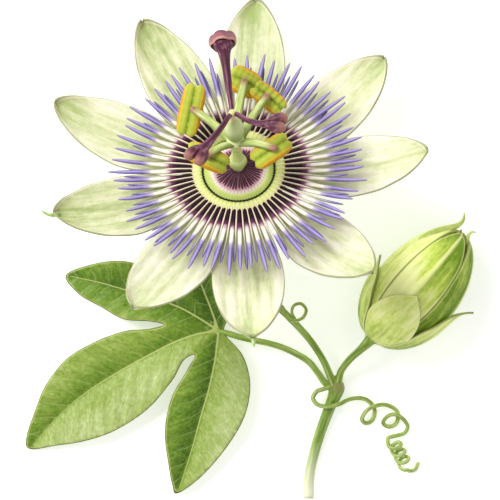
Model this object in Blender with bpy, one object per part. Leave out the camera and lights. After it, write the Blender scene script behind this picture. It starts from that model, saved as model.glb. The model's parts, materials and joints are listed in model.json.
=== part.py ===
"""A cut sprig of blue passion flower, lying on a flat surface: one open flower, one bud,
one lobed leaf, two tendrils and the piece of stem that carries them.

Units are metres, +Z is up. The flower leans toward +Y and rests on the tips of its upper
tepals. Lengths below are written in millimetres and multiplied by MM.
"""

import bpy
from math import cos, pi, radians, sin
from mathutils import Matrix, Vector
from mathutils.geometry import delaunay_2d_cdt

MM = 0.001

# Driving dimensions, in millimetres and degrees.
FACE_TILT = 31.5            # the flower's face leans this far from level
FACE_TURN = 6.5             # and its lean is turned this far to the left of +Y
COLUMN_LEAN = 9.0           # the column leans this much further than the face
FLOWER_HEIGHT = 26.3        # middle of the flower's face above the surface
LEAF_THICKNESS = 0.6
TEPAL_THICKNESS = 0.6
BRACT_THICKNESS = 0.6


# ---------------------------------------------------------------- shared helpers

def clear_scene():
    for old in list(bpy.data.objects):
        bpy.data.objects.remove(old, do_unlink=True)


def material(name, hex_colour, roughness=0.55):
    """A Principled material from an sRGB hex colour."""
    channels = [int(hex_colour[i:i + 2], 16) / 255 for i in (0, 2, 4)]
    linear = [c / 12.92 if c <= 0.04045 else ((c + 0.055) / 1.055) ** 2.4 for c in channels]
    made = bpy.data.materials.new(name)
    made.use_nodes = True
    shader = made.node_tree.nodes["Principled BSDF"]
    shader.inputs["Base Color"].default_value = (*linear, 1.0)
    shader.inputs["Roughness"].default_value = roughness
    shader.inputs["Metallic"].default_value = 0.0
    return made


def add_empty(name, parent=None, location=(0, 0, 0), rotation=(0, 0, 0)):
    """An empty that carries a group of pieces, placed in millimetres and degrees."""
    empty = bpy.data.objects.new(name, None)
    empty.parent = parent
    empty.location = Vector(location) * MM
    empty.rotation_euler = [radians(angle) for angle in rotation]
    bpy.context.collection.objects.link(empty)
    return empty


def add_mesh(name, points, faces, finish, parent):
    """An object from points in millimetres."""
    mesh = bpy.data.meshes.new(name)
    mesh.from_pydata([Vector(p) * MM for p in points], [], faces)
    mesh.materials.append(finish)
    piece = bpy.data.objects.new(name, mesh)
    piece.parent = parent
    bpy.context.collection.objects.link(piece)
    return piece


def add_tube(name, route, finish, parent, sides=8, steps=3):
    """A tapering round tube through (x, y, z, radius) points, with closed ends."""
    curve = bpy.data.curves.new(name, "CURVE")
    curve.dimensions = "3D"
    curve.bevel_depth = MM
    curve.bevel_resolution = (sides - 4) // 2
    curve.resolution_u = steps
    curve.use_fill_caps = True
    spline = curve.splines.new("BEZIER")
    spline.bezier_points.add(len(route) - 1)
    for point, (x, y, z, radius) in zip(spline.bezier_points, route):
        point.co = Vector((x, y, z)) * MM
        point.radius = radius
        point.handle_left_type = "AUTO"
        point.handle_right_type = "AUTO"
    curve.materials.append(finish)
    piece = bpy.data.objects.new(name, curve)
    piece.parent = parent
    bpy.context.collection.objects.link(piece)
    return piece


def add_turned(name, profile, finish, parent, sides=24):
    """A turned solid about local Z. A profile point is (radius, height); a profile that
    starts and ends on the axis is a solid, any other profile closes into a ring."""
    solid = profile[0][0] == 0
    rows = profile[1:-1] if solid else profile
    points = [
        (radius * cos(2 * pi * k / sides), radius * sin(2 * pi * k / sides), height)
        for radius, height in rows
        for k in range(sides)
    ]
    faces = []
    row_pairs = len(rows) - 1 if solid else len(rows)
    for row in range(row_pairs):
        here = row * sides
        there = ((row + 1) % len(rows)) * sides
        for k in range(sides):
            after = (k + 1) % sides
            faces.append((here + k, here + after, there + after, there + k))
    if solid:
        bottom = len(points)
        points += [(0, 0, profile[0][1]), (0, 0, profile[-1][1])]
        last = (len(rows) - 1) * sides
        for k in range(sides):
            after = (k + 1) % sides
            faces.append((bottom, after, k))
            faces.append((bottom + 1, last + k, last + after))
    return add_mesh(name, points, faces, finish, parent)


def add_blade(name, surface, lengthwise, crosswise, thickness, finish, parent):
    """A thin curved sheet. surface(u, v) gives its middle for u from 0 to 1 along the
    blade and v from -1 to 1 across it; Solidify gives it its thickness."""
    points = [
        surface(i / lengthwise, 2 * j / crosswise - 1)
        for i in range(lengthwise + 1)
        for j in range(crosswise + 1)
    ]
    row = crosswise + 1
    faces = [
        (i * row + j, i * row + j + 1, (i + 1) * row + j + 1, (i + 1) * row + j)
        for i in range(lengthwise)
        for j in range(crosswise)
    ]
    piece = add_mesh(name, points, faces, finish, parent)
    add_thickness(piece, thickness)
    return piece


def add_thickness(piece, thickness):
    solidify = piece.modifiers.new("thickness", "SOLIDIFY")
    solidify.thickness = thickness * MM
    solidify.offset = 0.0


# ---------------------------------------------------------------- stem and stalks

def build_stem(sprig):
    """The cut piece of vine, from its cut end up to the swollen node."""
    route = [
        (17.8, -83.6, 1.40, 1.40),
        (18.0, -78.0, 1.35, 1.35),
        (19.1, -72.6, 1.30, 1.30),
        (20.9, -66.5, 1.32, 1.32),
        (23.3, -60.1, 1.45, 1.45),
        (24.4, -57.4, 1.65, 1.65),
        (24.9, -55.6, 1.95, 1.90),
    ]
    add_tube("stem", route, material("stem_green", "7FA04B"), sprig)


def build_petiole(sprig):
    """The leaf's stalk, from the side of the node to the foot of the blade."""
    route = [
        (21.9, -54.1, 1.25, 0.85),
        (20.0, -51.2, 1.35, 0.80),
        (17.7, -48.5, 1.60, 0.80),
        (13.5, -46.0, 2.10, 0.80),
        (8.8, -44.2, 2.80, 0.80),
        (2.0, -42.7, 3.60, 0.80),
        (-2.3, -41.5, 3.90, 0.70),
    ]
    add_tube("petiole", route, material("petiole_green", "7C9C46"), sprig)


def build_flower_pedicel(sprig):
    """The open flower's stalk, which climbs from the node to the back of the flower."""
    route = [
        (23.8, -53.2, 3.10, 0.95),
        (21.6, -48.4, 4.90, 0.88),
        (18.7, -43.8, 5.90, 0.88),
        (15.6, -40.1, 6.60, 0.88),
        (12.4, -36.8, 7.30, 0.88),
        (9.6, -33.6, 8.00, 0.88),
        (5.6, -25.0, 9.40, 0.90),
        (2.6, -15.0, 11.60, 1.00),
        (1.05, -8.5, 14.05, 1.20),
    ]
    add_tube("flower_pedicel", route, material("pedicel_green", "86A84F"), sprig)


def build_bud_pedicel(sprig):
    """The bud's stalk, from the node to the foot of the bud."""
    route = [
        (25.6, -52.9, 3.10, 0.95),
        (26.2, -50.8, 4.10, 0.88),
        (28.3, -47.9, 6.20, 0.90),
        (30.8, -45.5, 8.60, 1.00),
        (32.7, -43.6, 9.90, 1.20),
    ]
    add_tube("bud_pedicel", route, material("bud_stalk_green", "8DAE55"), sprig)


# ---------------------------------------------------------------- tendrils

def build_tendrils(sprig):
    """Two thin tendrils. The long one passes over the stem, makes two loops lying on the
    surface and ends in a coil; the short one curls beside the flower's stalk."""
    green = material("tendril_green", "8FA85A")
    thick = 0.54
    lying = [
        (21.6, -55.6, 3.60),
        (19.9, -56.2, 3.70),
        (18.9, -57.9, 3.80),
        (20.2, -59.6, 3.90),
        (22.7, -60.0, 4.00),
        (25.6, -59.4, 3.80),
        (28.4, -58.2, 2.60),
        (31.3, -58.0, 1.40),
        (33.5, -59.0, 0.70),
        (34.8, -61.2, 0.60),
        (34.1, -63.7, 0.60),
        (32.4, -64.4, 0.80),
        (31.5, -63.3, 1.50),
        (32.4, -61.5, 2.00),
        (34.2, -60.2, 2.10),
        (37.1, -59.6, 1.60),
        (39.6, -60.5, 0.80),
        (40.8, -62.2, 0.60),
        (40.3, -64.4, 0.60),
        (38.5, -65.3, 0.80),
        (36.9, -64.4, 1.50),
        (37.8, -62.8, 2.00),
        (39.6, -62.1, 2.10),
        (41.7, -63.0, 1.60),
        (43.2, -65.1, 0.80),
        (42.4, -66.9, 0.60),
        (40.3, -67.6, 0.60),
        (38.2, -68.2, 0.60),
    ]
    coil_start = Vector((39.6, -69.3, 2.05))
    coil_end = Vector((42.7, -75.3, 2.05))
    coil_radius = 1.53
    turns = 3.25
    along = (coil_end - coil_start).normalized()
    across = along.cross(Vector((0, 0, 1)))
    stations = 27
    coil = []
    for i in range(stations):
        share = i / (stations - 1)
        angle = pi + 2 * pi * turns * share
        ring = (across * cos(angle) + Vector((0, 0, 1)) * sin(angle)) * -coil_radius
        coil.append(tuple(coil_start.lerp(coil_end, share) + ring))
    tail = [(43.6, -76.7, 0.60), (45.2, -76.3, 0.60), (45.9, -74.6, 0.52)]
    route = [(x, y, z, thick) for x, y, z in lying + coil + tail]
    add_tube("tendril_long", route, green, sprig, sides=6, steps=2)

    curl = [
        (11.3, -34.9, 8.90),
        (12.1, -37.0, 9.30),
        (14.0, -38.0, 9.40),
        (16.2, -37.3, 9.00),
        (17.1, -35.3, 8.60),
        (15.8, -33.7, 8.30),
        (14.0, -34.2, 8.00),
        (13.7, -35.5, 7.90),
    ]
    add_tube("tendril_short", [(x, y, z, 0.42) for x, y, z in curl], green, sprig, sides=6)


# ---------------------------------------------------------------- leaf

LEAF_FOOT = Vector((-5.2, -40.6, 4.2))
LEAF_REACH = 57.5
LEAF_LOBES = [
    # upper lobe, under the flower
    [(1.5, 0.8), (3.0, 4.8), (2.2, 9.4), (-1.2, 13.8), (-4.8, 19.2), (-9.5, 24.5),
     (-12.7, 20.4), (-13.4, 16.0)],
    # left lobe
    [(-12.6, 12.2), (-15.4, 13.6), (-20.2, 16.8), (-26.0, 17.8), (-32.8, 16.8), (-39.1, 14.0),
     (-35.6, 9.2), (-30.1, 6.1), (-24.2, 2.9), (-18.0, 2.4)],
    # long middle lobe
    [(-13.9, 1.5), (-17.8, 0.4), (-24.2, -0.2), (-31.8, -3.0), (-39.0, -7.4), (-44.2, -14.0),
     (-46.9, -20.4), (-49.2, -27.2), (-48.4, -30.4), (-41.6, -29.5), (-34.4, -28.3),
     (-26.6, -25.6), (-18.3, -20.2), (-11.9, -12.8), (-8.9, -7.6)],
    # lower lobe
    [(-6.0, -6.3), (-8.4, -10.8), (-12.0, -17.2), (-13.7, -25.6), (-12.9, -33.6),
     (-11.8, -39.6), (-10.5, -41.7), (-4.3, -37.2), (2.0, -29.9), (6.6, -22.0), (8.1, -13.8),
     (6.2, -6.4), (1.8, -1.2)],
]


def smooth_loop(corners, steps):
    """A closed Catmull-Rom curve through the corners."""
    count = len(corners)
    loop = []
    for i in range(count):
        a, b, c, d = (Vector(corners[(i + k) % count]) for k in (-1, 0, 1, 2))
        for step in range(steps):
            t = step / steps
            loop.append(
                0.5 * (2 * b + (c - a) * t + (2 * a - 5 * b + 4 * c - d) * t ** 2
                       + (3 * b - 3 * c + d - a) * t ** 3)
            )
    return loop


def inside(point, loop):
    """Whether a point is inside a closed loop, by counting the edges to its right."""
    hit = False
    for a, b in zip(loop, loop[1:] + loop[:1]):
        if (a.y > point.y) != (b.y > point.y):
            hit ^= point.x < a.x + (point.y - a.y) * (b.x - a.x) / (b.y - a.y)
    return hit


def build_leaf(sprig):
    """The four-lobed blade, highest at its foot and drooping to the tips of the lobes."""
    outline = smooth_loop([corner for lobe in LEAF_LOBES for corner in lobe], 2)
    spacing = 4.6
    margin = 1.6
    inner = []
    for column in range(-11, 3):
        for row in range(-9, 6):
            spot = Vector((column * spacing + (row % 2) * spacing / 2, row * spacing))
            near = min((spot - edge).length for edge in outline)
            if near > margin and inside(spot, outline):
                inner.append(spot)
    border = [(i, (i + 1) % len(outline)) for i in range(len(outline))]
    flat, _, faces, *_ = delaunay_2d_cdt(outline + inner, border, [], 1, 1e-4)
    points = []
    for spot in flat:
        droop = (spot.length / LEAF_REACH) ** 2
        height = LEAF_THICKNESS / 2 + (LEAF_FOOT.z - LEAF_THICKNESS / 2) * (1 - droop)
        points.append((LEAF_FOOT.x + spot.x, LEAF_FOOT.y + spot.y, height))
    leaf = add_mesh("leaf_blade", points, faces, material("leaf_green", "5F9140", 0.6), sprig)
    add_thickness(leaf, LEAF_THICKNESS)


# ---------------------------------------------------------------- tepals and receptacle

TEPAL_FOOT = 8.3            # radius at which a tepal leaves the receptacle
TEPAL_WIDEST = 0.52         # share of the blade's length at which it is widest
# name, direction in the flower's face, radius of the tip, greatest half width
SEPALS = [
    ("sepal_1", 35.4, 49.0, 8.8),
    ("sepal_2", 112.6, 52.6, 8.8),
    ("sepal_3", 188.0, 47.4, 8.8),
    ("sepal_4", 268.6, 48.6, 9.0),
    ("sepal_5", 311.6, 45.4, 8.8),
]
PETALS = [
    ("petal_1", 79.5, 51.0, 8.9),
    ("petal_2", 149.8, 51.2, 8.8),
    ("petal_3", 231.4, 47.2, 9.0),
    ("petal_4", -1.6, 47.4, 8.8),
]


def tepal_surface(direction, reach, half_width, foot_height, edge_lift):
    """The middle surface of one tepal: it dips behind the corona, rises to its tip, and
    its edges lift toward the tip."""
    turn = Matrix.Rotation(radians(direction), 3, "Z")

    def surface(u, v):
        if u < TEPAL_WIDEST:
            half = half_width * (0.30 + 0.70 * sin(pi / 2 * u / TEPAL_WIDEST) ** 1.3)
        else:
            off = 0.995 * (u - TEPAL_WIDEST) / (1 - TEPAL_WIDEST)
            half = half_width * (1 - off ** 2) ** 0.66
        along = TEPAL_FOOT + (reach - TEPAL_FOOT) * u
        height = foot_height - 11.5 * u + 13.6 * u ** 2 + edge_lift * u * v ** 2
        return turn @ Vector((along, half * v, height))

    return surface


def build_tepals(flower):
    """Five sepals in the back layer and four petals in the layer in front of them."""
    sepal_finish = material("sepal_cream_green", "E3EBC2")
    petal_finish = material("petal_cream_white", "EEF0D2")
    for name, direction, reach, half in SEPALS:
        surface = tepal_surface(direction, reach, half, -2.95, 1.3)
        add_blade(name, surface, 9, 4, TEPAL_THICKNESS, sepal_finish, flower)
    for name, direction, reach, half in PETALS:
        surface = tepal_surface(direction, reach, half, -1.95, 1.3)
        add_blade(name, surface, 9, 4, TEPAL_THICKNESS, petal_finish, flower)


def build_receptacle(flower):
    """The solid cup behind the flower that the tepals, corona and column grow from."""
    profile = [
        (0, -10.0), (2.0, -9.9), (5.0, -9.2), (8.4, -7.7), (10.4, -5.9), (11.0, -4.3),
        (7.9, -3.6), (7.9, -1.7), (0, -1.7),
    ]
    add_turned("receptacle", profile, material("receptacle_green", "A9C07A"), flower)


def build_flower_bracts(flower):
    """Three leafy bracts that cup the receptacle from behind."""
    green = material("bract_green", "9DBB62")
    length = 17.0
    for number, direction in enumerate((25.0, 145.0, 265.0), start=1):
        turn = Matrix.Rotation(radians(direction), 3, "Z")

        def surface(u, v):
            half = 0.9 + 5.8 * sin(pi * u ** 0.85) ** 0.9 * (1 - 0.25 * u)
            height = -11.4 + 5.6 * u - 0.6 * u ** 2 + 0.9 * u * v ** 2
            return turn @ Vector((1.9 + length * u, half * v, height))

        add_blade(f"flower_bract_{number}", surface, 6, 4, BRACT_THICKNESS, green, flower)


# ---------------------------------------------------------------- corona and throat

def add_corona_row(name, count, shift, ring, spokes, finish, parent):
    """A ring with evenly spaced filaments growing out of it, in one closed body.
    ring is (inner radius, outer radius, middle height, half thickness); spokes are
    stations of (radius, middle height, half width, half thickness)."""
    inner, outer, middle, half_thick = ring
    points = []
    for k in range(2 * count):
        angle = pi * (k + shift) / count
        x, y = cos(angle), sin(angle)
        points += [
            (inner * x, inner * y, middle - half_thick),
            (inner * x, inner * y, middle + half_thick),
            (outer * x, outer * y, middle + half_thick),
            (outer * x, outer * y, middle - half_thick),
        ]
    faces = []
    for k in range(2 * count):
        here = 4 * k
        there = 4 * ((k + 1) % (2 * count))
        faces += [
            (here + 1, there + 1, there, here),
            (here + 2, there + 2, there + 1, here + 1),
            (here, there, there + 3, here + 3),
        ]
        if k % 2:
            faces.append((here + 3, there + 3, there + 2, here + 2))
            continue
        loop = [here + 3, here + 2, there + 2, there + 3]
        centre = pi * (k + 0.5 + shift) / count
        out = Vector((cos(centre), sin(centre), 0))
        side = Vector((-sin(centre), cos(centre), 0))
        for radius, height, half_width, half_deep in spokes:
            fresh = len(points)
            for across, up in ((-1, -1), (-1, 1), (1, 1), (1, -1)):
                spot = out * radius + side * (half_width * across)
                points.append((spot.x, spot.y, height + half_deep * up))
            following = [fresh, fresh + 1, fresh + 2, fresh + 3]
            for a in range(4):
                b = (a + 1) % 4
                faces.append((loop[b], loop[a], following[a], following[b]))
            loop = following
        faces.append(tuple(reversed(loop)))
    return add_mesh(name, points, faces, finish, parent)


def build_corona(flower):
    """Two rows of 60 filaments, and the rings of the throat inside them."""
    front = [(17.0, 0.35, 0.50, 0.35), (24.5, 1.25, 0.50, 0.35), (31.8, 2.6, 0.22, 0.20)]
    back = [(17.0, -0.75, 0.30, 0.25), (28.0, 0.65, 0.20, 0.20)]
    add_corona_row("corona_outer_row", 60, 0.0, (11.4, 12.6, 0.1, 0.35), front,
                   material("corona_violet", "6F5BB5"), flower)
    add_corona_row("corona_second_row", 60, 1.0, (11.4, 12.6, -0.9, 0.30), back,
                   material("corona_white", "F3EFDC"), flower)
    add_turned("throat_ring", [(9.4, -1.2), (11.1, -1.2), (11.1, 0.2), (10.4, 0.55), (9.4, 0.4)],
               material("throat_yellow_green", "CBDC82"), flower, 40)
    add_turned("toothed_ring", [(8.85, 0.0), (9.05, -0.2), (9.25, 0.0), (9.05, 0.2)],
               material("toothed_black", "1E1A14"), flower, 40)
    add_turned("operculum", [(6.6, -1.4), (8.7, -1.4), (8.7, 0.0), (7.8, 0.35), (6.6, 0.1)],
               material("operculum_green", "B4CE68"), flower, 36)
    add_turned("inner_fringe", [(2.0, -1.4), (6.4, -1.4), (6.4, 0.2), (2.0, 1.3)],
               material("fringe_purple", "4A1F3A"), flower, 30)


# ---------------------------------------------------------------- column and its organs

# where each filament leaves the column, and its tip: direction round the column, reach
# from it and height along it
STAMENS = [
    (150.0, 136.0, 13.2, 14.0),
    (92.0, 77.0, 17.2, 14.0),
    (30.0, 50.0, 14.0, 14.0),
    (322.0, 324.0, 11.4, 14.0),
    (222.0, 223.0, 9.8, 14.0),
]
# length of each anther and the way it points across the surface
ANTHERS = [(13.0, 78.0), (8.6, -14.0), (9.8, -40.0), (10.8, 34.0), (11.4, -24.0)]
STYLES = [
    # (direction, reach, height, radius) from the top of the ovary to the stigma
    [(91, 1.1, 20.9, 0.65), (91, 5.0, 23.0, 0.75), (91, 10.0, 25.6, 0.95), (91, 15.6, 28.3, 1.40)],
    [(335, 1.1, 20.9, 0.65), (318, 4.9, 21.3, 0.75), (321, 8.5, 21.9, 0.90),
     (327, 10.9, 22.4, 1.20)],
    [(231, 1.1, 20.9, 0.65), (235, 5.2, 21.0, 0.80), (234, 9.6, 20.9, 1.00),
     (232, 14.0, 20.7, 1.30)],
]


def around(direction, reach, height):
    """A point of the column's frame from cylindrical measures."""
    return Vector((reach * cos(radians(direction)), reach * sin(radians(direction)), height))


def build_column(column):
    """The stalk in the middle of the flower, and the ovary on top of it."""
    stalk = [
        (0, -1.3), (1.45, -1.3), (1.5, 1.2), (2.2, 2.6), (2.27, 3.5), (1.9, 4.5), (1.25, 5.9),
        (1.25, 7.4), (1.5, 9.4), (2.1, 10.4), (2.1, 11.2), (0, 11.5),
    ]
    add_turned("column", stalk, material("column_green", "A9C878"), column, 20)
    ovary = [
        (0, 11.9), (1.6, 12.3), (2.35, 13.5), (2.55, 15.0), (2.3, 16.6), (1.5, 18.2),
        (0.9, 19.4), (0.6, 19.7), (0, 19.8),
    ]
    add_turned("ovary", ovary, material("ovary_green", "A8C295"), column, 20)


def build_stamens(sprig, column):
    """Five arching filaments, each with an anther slung across the underside of its tip."""
    green = material("filament_green", "A8C070")
    yellow = material("anther_yellow_green", "B4C43A")
    frame = column_frame()
    for number, (foot_direction, direction, reach, height) in enumerate(STAMENS, start=1):
        foot = around(foot_direction, 2.5, 10.8)
        tip = around(direction, reach, height)
        route = []
        for share, lift, radius in ((0, 0, 0.95), (0.35, 0.55, 0.9), (0.7, 0.9, 0.85), (1, 1, 0.8)):
            spot = foot.lerp(tip, share)
            spot.z = foot.z + (tip.z - foot.z) * lift
            route.append((*spot, radius))
        add_tube(f"stamen_filament_{number}", route, green, column)

        length, heading = ANTHERS[number - 1]
        long_way = Vector((cos(radians(heading)), sin(radians(heading)), 0))
        upward = frame.to_3x3() @ Vector((0, 0, 1))
        upward = (upward - long_way * upward.dot(long_way)).normalized()
        turn = Matrix((upward, long_way.cross(upward), long_way)).transposed()
        anther = add_turned(
            f"anther_{number}",
            [(0, -0.5), (0.30, -0.47), (0.5, -0.36), (0.5, 0.36), (0.30, 0.47), (0, 0.5)],
            yellow, sprig, 12,
        )
        anther.location = frame @ (tip * MM) - upward * 2.4 * MM
        anther.rotation_euler = turn.to_euler()
        anther.scale = (2.4, 4.8, length)


def build_styles(column):
    """Three styles spreading from the top of the ovary, each with a two-lobed stigma."""
    maroon = material("style_maroon", "6B2F4C")
    rose = material("stigma_rose", "A06A66")
    for number, stations in enumerate(STYLES, start=1):
        points = [around(*station[:3]) for station in stations]
        route = [(*point, station[3]) for point, station in zip(points, stations)]
        add_tube(f"style_{number}", route, maroon, column)
        heading = (points[-1] - points[-2]).normalized()
        end = points[-1] + heading * 0.35
        cap = [(0, 0), (1.5, 0), (2.7, 0.9), (3.1, 2.1), (2.7, 3.2), (1.5, 4.0), (0, 4.2)]
        stigma = add_turned(f"stigma_{number}", cap, rose, column, 16)
        stigma.location = end * MM
        stigma.rotation_euler = heading.to_track_quat("Z", "Y").to_euler()


# ---------------------------------------------------------------- bud

BUD_FOOT = Vector((33.7, -42.4, 10.1))
BUD_HEADING = 48.8          # the bud's axis, across the surface from +X toward +Y
BUD_LENGTH = 35.0
BUD_RADIUS = 10.2
BUD_WIDEST = 0.47           # share of the bud's length at which it is widest
BUD_ENDS = 0.8              # radius at the foot and at the top


def bud_radius(u):
    """Outer radius of the closed bud at a share u of its length."""
    span = BUD_WIDEST if u < BUD_WIDEST else 1 - BUD_WIDEST
    off = (u - BUD_WIDEST) / span
    return BUD_ENDS + (BUD_RADIUS - BUD_ENDS) * max(1 - off ** 2, 0) ** 0.55


def build_bud(bud):
    """Five keeled sepals closed over each other, and three leafy bracts at the foot."""
    shell = 0.9
    green = material("bud_green", "B4C95C")
    for number in range(1, 6):
        middle = radians(72 * number + 19)

        def surface(u, v):
            radius = bud_radius(u) - shell / 2
            half_angle = radians(36) - 0.2 / radius
            keel = 0.8 * (1 - abs(v)) * sin(pi * u)
            angle = middle + half_angle * v
            spot = radius + keel
            return Vector((BUD_LENGTH * u, spot * cos(angle), spot * sin(angle)))

        add_blade(f"bud_sepal_{number}", surface, 10, 4, shell, green, bud)

    leafy = material("bud_bract_green", "A6C36A")
    # direction round the bud (90 is up), length, half width, how far the tip stands off
    bracts = [(96.0, 15.4, 5.9, 0.3), (186.0, 22.4, 5.4, 3.4), (6.0, 17.8, 5.2, 1.5)]
    for number, (direction, length, half, stand_off) in enumerate(bracts, start=1):
        middle = radians(direction)

        def surface(u, v):
            along = -0.4 + length * u
            clear = bud_radius(max(along, 0) / BUD_LENGTH) + 1.35 + stand_off * u ** 2
            width = 0.9 + half * sin(pi * u ** 0.8) ** 0.8
            angle = middle + v * width / clear
            return Vector((along, clear * cos(angle), clear * sin(angle)))

        add_blade(f"bud_bract_{number}", surface, 6, 4, BRACT_THICKNESS, leafy, bud)


# ---------------------------------------------------------------- the whole sprig

def column_frame():
    """The column's frame inside the sprig's, as a matrix in metres."""
    place = Matrix.Translation((0, 0, FLOWER_HEIGHT * MM))
    turn = Matrix.Rotation(radians(FACE_TURN), 4, "Z")
    lean = Matrix.Rotation(radians(-FACE_TILT - COLUMN_LEAN), 4, "X")
    return place @ turn @ lean


def set_down(sprig):
    """Put the sprig's lowest point on z = 0 and the middle of its outline over the origin."""
    bpy.context.view_layer.update()
    depsgraph = bpy.context.evaluated_depsgraph_get()
    corners = []
    for piece in bpy.context.view_layer.objects:
        if piece.type in {"MESH", "CURVE"}:
            shape = piece.evaluated_get(depsgraph).to_mesh()
            corners += [piece.matrix_world @ vertex.co for vertex in shape.vertices]
    low = Vector([min(corner[axis] for corner in corners) for axis in range(3)])
    high = Vector([max(corner[axis] for corner in corners) for axis in range(3)])
    middle = (low + high) / 2
    sprig.location = (-middle.x, -middle.y, -low.z)


def main():
    clear_scene()
    sprig = add_empty("sprig")
    flower = add_empty("flower_face", sprig, (0, 0, FLOWER_HEIGHT), (-FACE_TILT, 0, FACE_TURN))
    column = add_empty("column_axis", flower, rotation=(-COLUMN_LEAN, 0, 0))
    bud = add_empty("bud_axis", sprig, BUD_FOOT, (0, 0, BUD_HEADING))
    build_stem(sprig)
    build_petiole(sprig)
    build_flower_pedicel(sprig)
    build_bud_pedicel(sprig)
    build_tendrils(sprig)
    build_leaf(sprig)
    build_tepals(flower)
    build_receptacle(flower)
    build_flower_bracts(flower)
    build_corona(flower)
    build_column(column)
    build_stamens(sprig, column)
    build_styles(column)
    build_bud(bud)
    set_down(sprig)


main()
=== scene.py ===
import json
import random
from functools import partial
from math import cos, exp, pi, radians, sin, sqrt

import bpy
from mathutils import Matrix, Vector
from mathutils.geometry import delaunay_2d_cdt

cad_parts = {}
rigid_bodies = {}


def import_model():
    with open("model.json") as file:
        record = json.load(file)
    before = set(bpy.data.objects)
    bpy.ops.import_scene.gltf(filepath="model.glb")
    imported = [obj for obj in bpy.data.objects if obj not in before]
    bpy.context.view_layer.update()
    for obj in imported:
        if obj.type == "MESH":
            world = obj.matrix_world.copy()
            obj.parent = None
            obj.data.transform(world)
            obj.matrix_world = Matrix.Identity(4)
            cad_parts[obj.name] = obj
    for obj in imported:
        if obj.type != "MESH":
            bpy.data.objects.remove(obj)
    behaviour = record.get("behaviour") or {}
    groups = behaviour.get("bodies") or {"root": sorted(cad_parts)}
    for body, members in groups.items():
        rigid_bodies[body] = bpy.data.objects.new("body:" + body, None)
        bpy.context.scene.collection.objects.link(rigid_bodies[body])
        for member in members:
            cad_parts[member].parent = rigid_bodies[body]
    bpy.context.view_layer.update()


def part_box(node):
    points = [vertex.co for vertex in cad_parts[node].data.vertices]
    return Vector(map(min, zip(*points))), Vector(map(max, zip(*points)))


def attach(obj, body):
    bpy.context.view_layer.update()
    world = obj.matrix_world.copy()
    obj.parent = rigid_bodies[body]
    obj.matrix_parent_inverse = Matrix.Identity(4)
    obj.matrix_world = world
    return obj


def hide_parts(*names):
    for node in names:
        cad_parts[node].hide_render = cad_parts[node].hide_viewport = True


for old in list(bpy.data.objects):
    bpy.data.objects.remove(old, do_unlink=True)
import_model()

# ---- where the sprig lies ----
# The toothed ring of the throat is a flat circle round the middle of the flower's face, so
# its box gives that middle. The face leans back toward +Y and the column leans further.
MM = 0.001
FACE_TILT = radians(31.5)
FACE_TURN = radians(6.5)
COLUMN_LEAN = radians(9.0)
FLOWER_HEIGHT = 26.3
ring_low, ring_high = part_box("toothed_ring")
face_middle = (ring_low + ring_high) / 2
face = (
    Matrix.Translation(face_middle)
    @ Matrix.Rotation(FACE_TURN, 4, "Z")
    @ Matrix.Rotation(-FACE_TILT, 4, "X")
)
column_axis = face @ Matrix.Rotation(-COLUMN_LEAN, 4, "X")
ground = Matrix.Translation(face_middle - Vector((0, 0, FLOWER_HEIGHT * MM)))

# ---- stem and stalks ----
# A length of young vine stem, cut with a knife, swelling at the node where the leaf's and the
# flowers' stalks leave it. Green, smooth and a little waxy, ribbed along its length.
STEM_ROUTE = [
    (17.8, -83.6, 1.4, 1.4), (18.0, -78.0, 1.35, 1.35), (19.1, -72.6, 1.3, 1.3),
    (20.9, -66.5, 1.32, 1.32), (23.3, -60.1, 1.5, 1.45), (24.4, -57.4, 1.8, 1.72),
    (24.9, -55.6, 2.05, 2.05), (24.9, -54.3, 2.25, 1.8), (24.6, -53.0, 2.5, 1.15),
]
PETIOLE_ROUTE = [
    (23.4, -55.3, 1.6, 0.95), (21.7, -53.6, 1.45, 0.88), (20.0, -51.2, 1.4, 0.8),
    (17.7, -48.5, 1.6, 0.8), (13.5, -46.0, 2.1, 0.8), (8.8, -44.2, 2.8, 0.8),
    (2.0, -42.7, 3.6, 0.82), (-2.3, -41.5, 4.0, 0.8), (-5.6, -40.5, 4.3, 0.55),
]
FLOWER_PEDICEL_ROUTE = [
    (24.3, -54.9, 2.5, 1.1), (23.6, -53.0, 3.2, 0.98), (21.6, -48.4, 4.9, 0.88),
    (18.7, -43.8, 5.9, 0.86), (15.6, -40.1, 6.6, 0.88), (12.4, -36.8, 7.3, 0.88),
    (9.6, -33.6, 8.0, 0.88), (5.6, -25.0, 9.4, 0.9), (2.6, -15.0, 11.6, 1.0),
    (1.05, -8.5, 14.05, 1.25), (0.5, -5.6, 16.6, 2.0),
]
BUD_PEDICEL_ROUTE = [
    (25.2, -54.6, 2.5, 1.1), (25.6, -52.9, 3.2, 0.98), (26.2, -50.8, 4.1, 0.88),
    (28.3, -47.9, 6.2, 0.9), (30.8, -45.5, 8.6, 1.02), (32.7, -43.6, 9.9, 1.35),
    (34.2, -41.9, 10.2, 1.9),
]


def to_linear(hex_colour):
    """An sRGB hex colour as linear red, green, blue and alpha."""
    channels = [int(hex_colour[i:i + 2], 16) / 255 for i in (0, 2, 4)]
    linear = [c / 12.92 if c <= 0.04045 else ((c + 0.055) / 1.055) ** 2.4 for c in channels]
    return (*linear, 1.0)


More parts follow.
